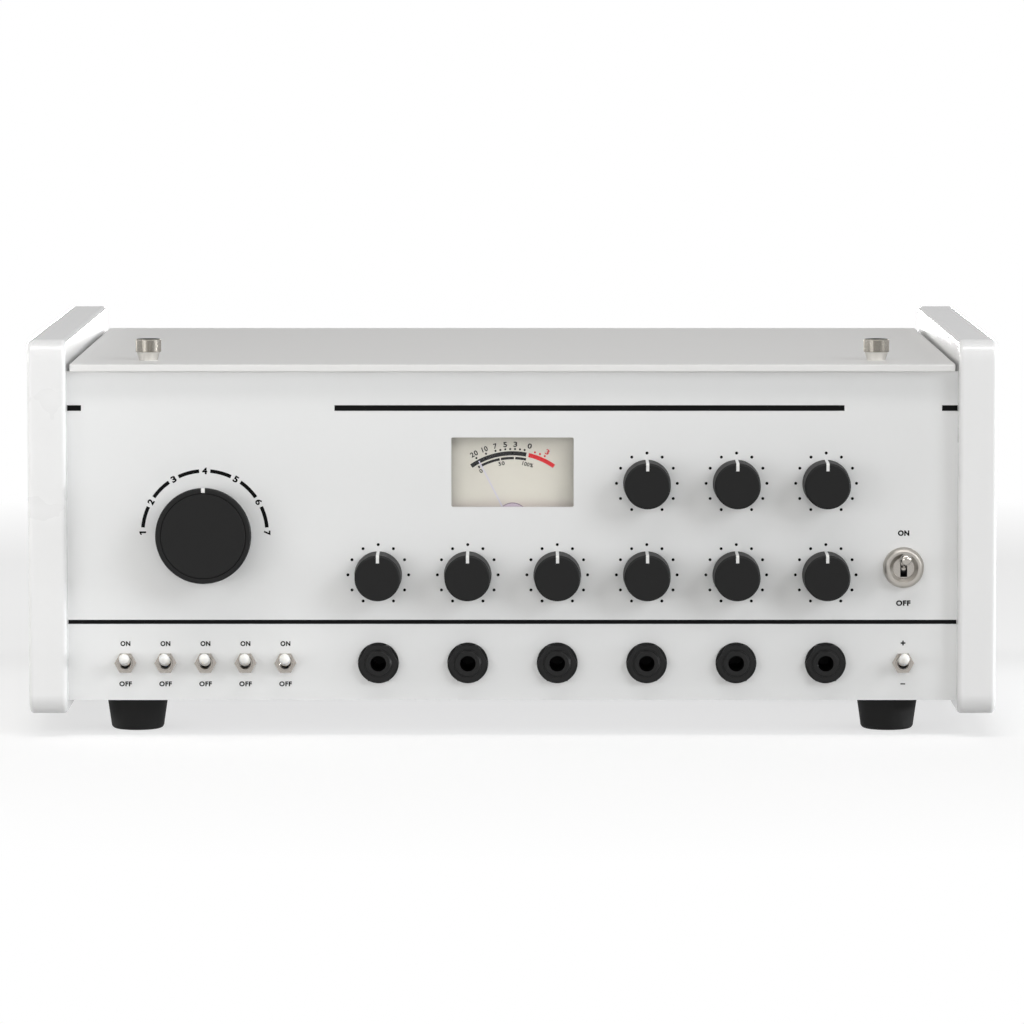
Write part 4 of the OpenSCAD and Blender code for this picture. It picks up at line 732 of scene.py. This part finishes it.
# One metal in painted light: painted bright up to the grip as a painted highlight, and darker where it is knurled
# as painted shade
THUMB_PAINTED_LIGHT = by_place("thumbscrew_painted_light", "Z", LID_TOP + mm(THUMB["bright"]),
                       ((0.92, 0.90, 0.86), 0.3, 1.0), ((0.38, 0.36, 0.325), 0.25, 1.0))
# The screw's metal top is painted black: a painted dark reflection
THUMB_TOP_REFLECTION = finish("thumbscrew_top_painted_reflection", (0.006, 0.006, 0.006), rough=(0.8, 0.9),
                   Specular_IOR_Level=0.02)
KNURL_TEETH = 54
KNURL_DEPTH = 0.22


def add_thumbscrew(node):
    """A turned screw whose top is painted black as a painted dark reflection, and whose grip is cut into fine
    upright teeth.
    """
    t = THUMB
    edge, shank, head = t["edge"], t["shank"], t["head"]
    # Radius at the teeth's tips, how deep they are cut there, and height above the lid
    rings = [(shank - edge, 0, -t["reach"]), (shank, 0, edge - t["reach"]), (shank, 0, 0.0),
             (t["neck"], 0, 0.0), (head - edge, 0, t["cone"]),
             (head, KNURL_DEPTH, t["cone"] + edge), (head, KNURL_DEPTH, t["height"] - edge),
             (head - edge, 0, t["height"])]
    steps = KNURL_TEETH * 4
    bm = bmesh.new()
    levels = []
    for tip, depth, z in rings:
        radii = (tip, tip, tip - depth, tip - depth)
        level = [bm.verts.new(mm(*polar(radii[i % 4], 360 * i / steps), z)) for i in range(steps)]
        levels.append(level)
    for low, high in zip(levels, levels[1:]):
        for i in range(steps):
            j = (i + 1) % steps
            bm.faces.new((low[i], low[j], high[j], high[i]))
    bm.faces.new(levels[0])
    bm.faces.new(levels[-1]).material_index = 1
    c = centre(node)
    piece = add_piece(node + "_knurled", bm, node, THUMB_PAINTED_LIGHT,
                      Matrix.Translation((c.x, c.y, LID_TOP)))
    piece.data.materials.append(THUMB_TOP_REFLECTION)
    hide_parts(node)


# ---------------------------------------------------------------- print on the meter's dial

# How far the arcs' centre lies above the needle's pivot
DIAL_RISE = 0.3
# How far the dial's face lies behind the round boss, which is its foremost part
DIAL_BEHIND = 1.0
# Radius, width and spans of the thick arc, of its red end and of the thin arc below it
DIAL_ARC = (30.3, 1.75, [(-34.7, 11.0)])
DIAL_ARC_RED = (30.3, 1.75, [(12.8, 35.0)])
DIAL_INNER_ARC = (28.3, 1.05, [(-28.1, -10.9), (-9.9, 1.2), (2.3, 11.6), (-30.4, -28.9)])
DIAL_DOTS = 32.1
DIAL_DOT_R = 0.45
DIAL_DOT_ANGLES = [-28.1, -20.2, -12.8, -9.1, -5.4, -1.7, 1.9, 5.6, 9.1]
DIAL_RED_DOTS = [17.0, 21.0, 24.9]
# Radius, capitals' height, bold and marks of each ring of numbers. A mark is its text, its width
# and its angle.
DIAL_NUMBERS = (34.1, 2.2, 0.085, [("20", 3.2, -28.2), ("10", 2.5, -20.0), ("7", 1.5, -12.3),
                                   ("5", 1.6, -5.2), ("3", 1.6, 2.0), ("0", 1.75, 12.2)])
DIAL_RED_NUMBERS = (34.1, 2.2, 0.085, [("3", 1.6, 25.3)])
DIAL_INNER_NUMBERS = (26.4, 1.7, 0.065, [("0", 1.3, -30.0), ("50", 2.6, -10.0),
                                         ("100%", 4.6, 14.0)])
# The round boss: its face's radius, the painted shade along its upper edge as for the arcs, and its middle's
# height above the pivot
BOSS_R = 6.4
BOSS_SHADE = (6.6, 0.38, [(-60, 60)])
BOSS_UP = 3.2
# The boss's own face, and the dark painted shade along its upper edge
BOSS_LOOKS = [ink("boss_face", (0.45, 0.37, 0.44), (0.5, 0.6)),
              ink("boss_painted_shade", (0.18, 0.13, 0.18), (0.5, 0.6))]


def dial_arcs(ring):
    """The outlines of a ring's spans; a long one gets more steps."""
    radius, width, spans = ring
    return [band(radius, width, a, b, 32 if b - a > 40 else 16) for a, b in spans]


def dial_dots(angles):
    return [disc(DIAL_DOT_R, *polar(DIAL_DOTS, a), 12) for a in angles]


def print_numbers(name, ring, matrix, material=INK):
    radius, cap, bold, marks = ring
    words = [(text, cap, width, *polar(radius, a), a) for text, width, a in marks]
    print_words(name, words, matrix, material, bold)


def print_dial():
    low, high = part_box("meter_dial")
    middle = (low.x + high.x) / 2
    pivot_z = joint_place("needle_swing").z
    face_y = low.y + mm(DIAL_BEHIND)
    matrix = Matrix.Translation((middle, face_y, pivot_z + mm(DIAL_RISE))) @ UPRIGHT
    print_outlines("dial_arc", dial_arcs(DIAL_ARC), matrix)
    print_outlines("dial_arc_red", dial_arcs(DIAL_ARC_RED), matrix, INK_RED)
    inner = dial_arcs(DIAL_INNER_ARC) + dial_dots(DIAL_DOT_ANGLES)
    print_outlines("dial_inner_arc", inner, matrix)
    print_outlines("dial_dots_red", dial_dots(DIAL_RED_DOTS), matrix, INK_RED)
    print_numbers("dial_numbers", DIAL_NUMBERS, matrix)
    print_numbers("dial_inner_numbers", DIAL_INNER_NUMBERS, matrix)
    boss = Matrix.Translation((middle, low.y, pivot_z + mm(BOSS_UP))) @ UPRIGHT
    for shapes, look in zip(([disc(BOSS_R, steps=48)], dial_arcs(BOSS_SHADE)), BOSS_LOOKS):
        print_outlines("dial_" + look.name, shapes, boss, look)
    print_numbers("dial_number_red", DIAL_RED_NUMBERS, matrix, INK_RED)


# ---------------------------------------------------------------- the scene

make_camera()
make_world(level=0.03, mirrored_front=0.55, mirrored_back=0.6)
for lamp in LAMPS:
    make_lamp(*lamp)
make_floor(colour=0.45, lift=0.6, middle=0.3, clear_from=0.45, clear_to=0.8)

dress_nodes()
print_lines()
print_dots()
print_mode_scale()
print_switch_marks()
for knob_name in LOW_KNOBS + TOP_KNOBS:
    add_pointer(knob_name)
add_mode_pointer()
for small_lever in SMALL_LEVERS:
    add_bat(small_lever)
for thumbscrew in ("thumbscrew_left", "thumbscrew_right"):
    add_thumbscrew(thumbscrew)
print_dial()

bpy.context.scene.view_settings.view_transform = "Standard"
